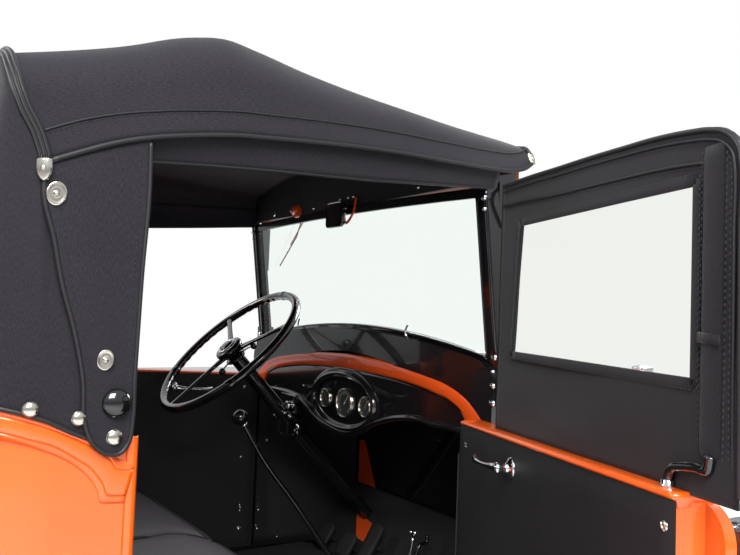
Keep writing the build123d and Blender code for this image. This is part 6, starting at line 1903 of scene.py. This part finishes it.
class ROADSTER_OT_wheels(bpy.types.Operator):
    """Makes the four wheels: treaded tyres, drop-centre rims, wires, hubs with bright caps, brake drums."""

    bl_idname = "roadster.wheels"
    bl_label = "Wheels"

    def execute(self, context):
        for name, x, sign in WHEELS:
            body = name + "_wheel"
            centre, axis = (x, sign * WHEEL_Y, TYRE_RADIUS), (0, sign, 0)
            make_piece("tyre_tread_" + name, [tyre_patch(x, sign)], "tyre", body,
                       replaces=("tyre_" + name,))
            parts = [lathe(RIM_OUTLINE, centre, axis, 96), lathe(HUB_OUTLINE, centre, axis, 40)] + wheel_spokes(x, sign)
            make_piece("wheel_wires_" + name, parts, "orange", body, merge=0.00001,
                       replaces=("wheel_" + name,))
            drum = lathe(DRUM_OUTLINE, centre, axis, 72)
            stem = tube(on_axle(x, sign, np.array((214, 206, 190)), 0.2, np.array((6, 12, 22))), (4.5, 4, 3.4), 10)
            make_piece("brake_drum_" + name, [drum, stem], "chassis", body)
            make_piece("hub_cap_" + name, [lathe(HUB_CAP, centre, axis, 48)], "chrome", body)
        return {"FINISHED"}


def node_face(name, point, way):
    """Where a ray from a point, along a way, first meets a node of the frame: spot and normal."""
    hit, spot, normal, _ = bpy.data.objects[name].ray_cast(Vector(at(point)), Vector(way))
    if not hit:
        raise RuntimeError("no face of " + name + " in the way of a fitting")
    return (np.array(spot) - ORIGIN) * 1000, np.array(normal)


class ROADSTER_OT_hood(bpy.types.Operator):
    """Makes the hood's pressed louvres, its latches and the radiator's cap."""

    bl_idname = "roadster.hood"
    bl_label = "Hood fittings"

    def execute(self, context):
        for side, sign in (("left", 1), ("right", -1)):
            louvres, latches = [], []
            share = np.linspace(0, 1, 15)[:, None]
            lift = np.array((-1.0, 1.5, 4.2, 6.6, 8.0, 8.2, 7.2, -1.0))
            along = np.array((13.0, 9, 4, -1, -6, -7.4, -8.0, -8.0))
            for x in np.linspace(580, 1075, 22):
                heights = (712, 800, 888)
                spots = np.array([node_face("hood_" + side, (x, sign * 900, z), (0, -sign, 0))[0] for z in heights])
                z = 712 + 176 * share
                y = np.interp(z[:, 0], heights, spots[:, 1])[:, None]
                swell = np.clip(1 - (2 * share - 1) ** 6, 0, 1) ** 0.5
                louvres.append(patch(grid_of(x + along, y + sign * (lift * swell - 0.6), z), flip=sign < 0))
            make_piece("hood_louvres_" + side, louvres, "orange", side + "_hood", closed=False)
            for x in (470, 1120):
                spot, normal = node_face("hood_" + side, (x, sign * 900, 694), (0, -sign, 0))
                latches.append(lathe(((0, 0), (17, 0), (17, 2), (13, 4.5), (7, 7), (6, 16), (0, 17)), spot, normal, 30))
                bar = spot + normal * 15 + np.linspace(-1, 1, 9)[:, None] * (24, 0, 5)
                latches.append(tube(bar, (3, 4.6, 5.4, 5.6, 6.4, 5.6, 5.4, 4.6, 3), 12))
            make_piece("hood_latches_" + side, latches, "chrome", side + "_hood")
        turn = turns(72)
        knurl = 1 + 0.03 * np.cos(18 * turn)
        rows = ((0, 1, 0), (34, 1, 0), (36, 1, 2), (36, 1, 4), (33, 1, 5), (33, 0, 6), (34, 0, 8), (34, 0, 15),
                (33, 0, 17),
                (30, 1, 18.5), (24, 1, 20), (10, 1, 22), (0, 1, 22.4))
        reach = np.array([radius * np.where(plain, 1.0, knurl) for radius, plain, _ in rows])
        cap = grid_of(1190 + reach * np.cos(turn), reach * np.sin(turn), np.array(rows)[:, 2:] + 1137.0)
        make_piece("radiator_cap", [patch(cap, close_v=True)], "chrome")
        return {"FINISHED"}


BUMPER_BOW = {"drop": 34, "half": 760}


def bumper_bow(y):
    """How far a bumper bends back at a width: drop * (y / half)^2."""
    return BUMPER_BOW["drop"] * (y / BUMPER_BOW["half"]) ** 2


class ROADSTER_OT_lights(bpy.types.Operator):
    """Makes the lamps' rims and fluted lenses, the tail lamp's lens and the bumpers' bolts."""

    bl_idname = "roadster.lights"
    bl_label = "Lamps and bumpers"

    def execute(self, context):
        bright, lenses = [], []
        for sign in (1, -1):
            centre = np.array((1340.0, sign * 385, 870))
            bright.append(lathe(((104, 3), (109, 3), (112, 6), (112.5, 10), (110, 14.5), (105, 17), (101.5, 17.5),
                                 (101.5, 15), (104, 3)), centre, (1, 0, 0), 80))
            bright.append(lathe(((0, -4), (8, -4), (8, 4), (5.5, 8), (0, 9)), centre + (14, 0, -112), (0, 0, -1), 20))
            radius = np.linspace(0, 102.5, 24)[:, None]
            turn = turns(120)[None]
            y, z = radius * np.cos(turn), radius * np.sin(turn)
            bulge = 30 - 14 * (radius / 102.5) ** 2 + 0.9 * np.cos(y * 2 * math.pi / 13) * ease(102.5 - radius, 0, 8)
            front = grid_of(centre[0] + bulge, centre[1] + y, centre[2] + z)
            lenses.append(patch(np.concatenate((front, front[::-1] - (2.4, 0, 0))), close_v=True))
        make_piece("lamp_lenses", lenses, "glass")
        tail = np.array((-2726.0, 695, 652))
        bright.append(lathe(((38, -2), (46.5, -2), (48.5, 1), (48, 5), (44, 8), (39.5, 8.4), (39.5, 3), (38, -2)), tail,
                            (-1, 0, 0), 48))
        for y in (-361, 361):
            for z in (438, 502):
                bright.append(dome((1590 - bumper_bow(y) + 0.2, y, z), (1, 0, 0), 12, 7))
            bright.append(dome((1590 - bumper_bow(y) - 1.0, y, 470), (1, 0, 0), 9, 6))
        for y in (-444, 444):
            bright.append(dome((-2711 + bumper_bow(y) - 0.2, y, 480), (-1, 0, 0), 12, 7))
        for sign in (1, -1):
            for z in (438, 502):
                bright.append(dome((1557.0, sign * 738, z), (1, sign * 0.09, 0), 9, 5))
        make_piece("lamp_rims", bright, "chrome")
        red = lathe(((0, 2), (40, 2), (40, 6), (34, 9.5), (22, 12), (0, 13.4)), tail, (-1, 0, 0), 48)
        make_piece("tail_lens", [red], "red")
        return {"FINISHED"}


def plank(x0, x1, y0, y1, low, high):
    """A board along x with its long upper edges eased."""
    shape = np.array(((y0, low), (y0, high - 1.6), (y0 + 1.6, high), (y1 - 1.6, high), (y1, high - 1.6), (y1, low)))
    middle = shape.mean(0)
    rows = [(x0, 0), (x0, 1), (x1, 1), (x1, 0)]
    grid = [np.column_stack((np.full(6, x), middle + (shape - middle) * grow)) for x, grow in rows]
    return patch(np.array(grid), close_v=True)


class ROADSTER_OT_bed(bpy.types.Operator):
    """Makes the load bed's planks, skid strips and bolts, the tailgate's bead and the running boards' mats."""

    bl_idname = "roadster.bed"
    bl_label = "Load bed"

    def execute(self, context):
        count, start, end = 8, BED["rear"] + 3, BED["front"] - 17
        pitch = 2 * (BED["half"] - 17) / count
        boards, strips, bolts = [], [], []
        for number in range(count):
            y = -BED["half"] + 17 + pitch * number
            boards.append(plank(start, end, y + 5, y + pitch - 5, 671, 681))
            if number:
                strips.append(plank(start, end, y - 13, y + 13, 679, 684))
                bolts += [dome((x, y, 683.6), (0, 0, 1), 7, 3.4, sides=12)
                          for x in np.linspace(start + 60, end - 60, 6)]
        make_piece("bed_planks", boards, "plank")
        make_piece("bed_strips", strips, "steel")
        for share in (0.04, 0.5, 0.96):
            x = BED["front"] - share * 1650
            for sign in (1, -1):
                for z in (830, 880, 930, 965):
                    bolts.append(dome((x, sign * (BED["half"] + 26), z), (0, sign, 0), 7.5, 4, sides=14))
        make_piece("bed_bolts", bolts, "steel")
        gate = []
        for inset in (0, 16):
            half, low, high = 492 - inset, 756 + inset, 904 - inset
            corners = np.array(((-half, low), (half, low), (half, high), (-half, high)), float)
            line = through(np.concatenate([np.linspace(corners[k], corners[(k + 1) % 4], 12)[1:-1] for k in range(4)]),
                           160, closed=True)
            gate.append(tube(grid_of(-2713.2, line[:, 0], line[:, 1]), 3.4, 8, up=(1, 0, 0), closed=True))
        make_piece("tailgate_beads", gate, "orange", "tail_gate")
        mats, trims = [], []
        for sign in (1, -1):
            y = np.linspace(534, 838, 340)
            x = np.linspace(-1262, 628, 12)[:, None]
            ribs = 397.6 + 1.6 * (0.5 + 0.5 * np.cos(y * 2 * math.pi / 9)) * ease(838 - y, 0, 4) * ease(y - 534, 0, 4)
            mats.append(patch(grid_of(x, sign * y, ribs), flip=sign < 0))
            edge = ((-1262, sign * 848, 395), (628, sign * 848, 395))
            trims.append(tube(spread(edge, 30, False), 4.5, 10))
        make_piece("running_board_mats", mats, "mat", closed=False)
        make_piece("running_board_trims", trims, "chrome")
        return {"FINISHED"}


class ROADSTER_OT_door_outside(bpy.types.Operator):
    """Makes the doors' outside belt mouldings and lever handles."""

    bl_idname = "roadster.door_outside"
    bl_label = "Door outsides"

    def execute(self, context):
        s = np.linspace(6, 700, 60)[:, None]
        shape = np.array(((-74, 0.6), (-72, -3.4), (-66, -4.8), (-46, -5.2), (-40, -4.2), (-38, -1.6), (-36, 0.6)))
        band = capped(on_door(s, belt(s) + shape[:, 0], shape[:, 1]), last=False)
        base = lathe(((0, -1), (20, -1), (20, 2), (17, 5), (11, 8), (9.5, 12), (9.5, 30), (12, 34), (12, 42), (8, 46),
                      (0, 47)), on_door(652.0, 1012.0, 0.0), -INWARD, 32)
        run = through(((652, 1012, -38), (630, 1013, -42), (590, 1015, -43), (556, 1014, -40), (536, 1012, -36)), 40)
        share = np.linspace(0, 1, 40)
        size = 9.5 - 3.0 * share + 1.4 * np.sin(share * math.pi)
        size[0], size[-1] = 6, 3.5
        lever = door_bar(run, run[:, 2], size, 16, 0.7)
        for label, body, change in DOORS:
            make_piece("door_belt_" + label, [change(band)], "orange", body)
            make_piece("door_outside_handle_" + label, [change(base), change(lever)], "chrome", body)
        return {"FINISHED"}


class ROADSTER_PT_panel(bpy.types.Panel):
    """Lists the pieces."""

    bl_label = "Roadster pickup"
    bl_idname = "ROADSTER_PT_panel"
    bl_space_type = "VIEW_3D"
    bl_region_type = "UI"
    bl_category = "Roadster"

    def draw(self, context):
        for label, group in (
            ("Paint", context.scene.roadster_paint), ("Sizes", context.scene.roadster_sizes),
            ("Stage", context.scene.roadster_stage),
        ):
            box = self.layout.box()
            box.label(text=label)
            for key in group.__annotations__:
                box.prop(group, key)
        for operator in OPERATORS:
            self.layout.operator(operator.bl_idname)


GROUP_CLASSES = (
    ("roadster_paint", RoadsterPaint), ("roadster_sizes", RoadsterSizes), ("roadster_stage", RoadsterStage),
)
OPERATORS = (
    ROADSTER_OT_paint, ROADSTER_OT_stage, ROADSTER_OT_top, ROADSTER_OT_lining, ROADSTER_OT_flaps,
    ROADSTER_OT_quarters, ROADSTER_OT_rear_curtain, ROADSTER_OT_door_curtain, ROADSTER_OT_doors,
    ROADSTER_OT_steering, ROADSTER_OT_dash, ROADSTER_OT_screen, ROADSTER_OT_seat, ROADSTER_OT_cabin,
    ROADSTER_OT_wheels, ROADSTER_OT_hood, ROADSTER_OT_lights, ROADSTER_OT_bed, ROADSTER_OT_door_outside,
)


def register():
    for key, group in GROUP_CLASSES:
        bpy.utils.register_class(group)
        setattr(bpy.types.Scene, key, PointerProperty(type=group))
    for operator in OPERATORS:
        bpy.utils.register_class(operator)
    bpy.utils.register_class(ROADSTER_PT_panel)


def unregister():
    bpy.utils.unregister_class(ROADSTER_PT_panel)
    for operator in reversed(OPERATORS):
        bpy.utils.unregister_class(operator)
    for key, group in reversed(GROUP_CLASSES):
        delattr(bpy.types.Scene, key)
        bpy.utils.unregister_class(group)


def main():
    """Dresses the whole vehicle."""
    register()
    for operator in OPERATORS:
        step = getattr(bpy.ops.roadster, operator.bl_idname.split(".")[1])
        if step() != {"FINISHED"}:
            raise RuntimeError(operator.bl_idname + " did not finish")
    bpy.context.view_layer.update()


if __name__ == "__main__":
    main()
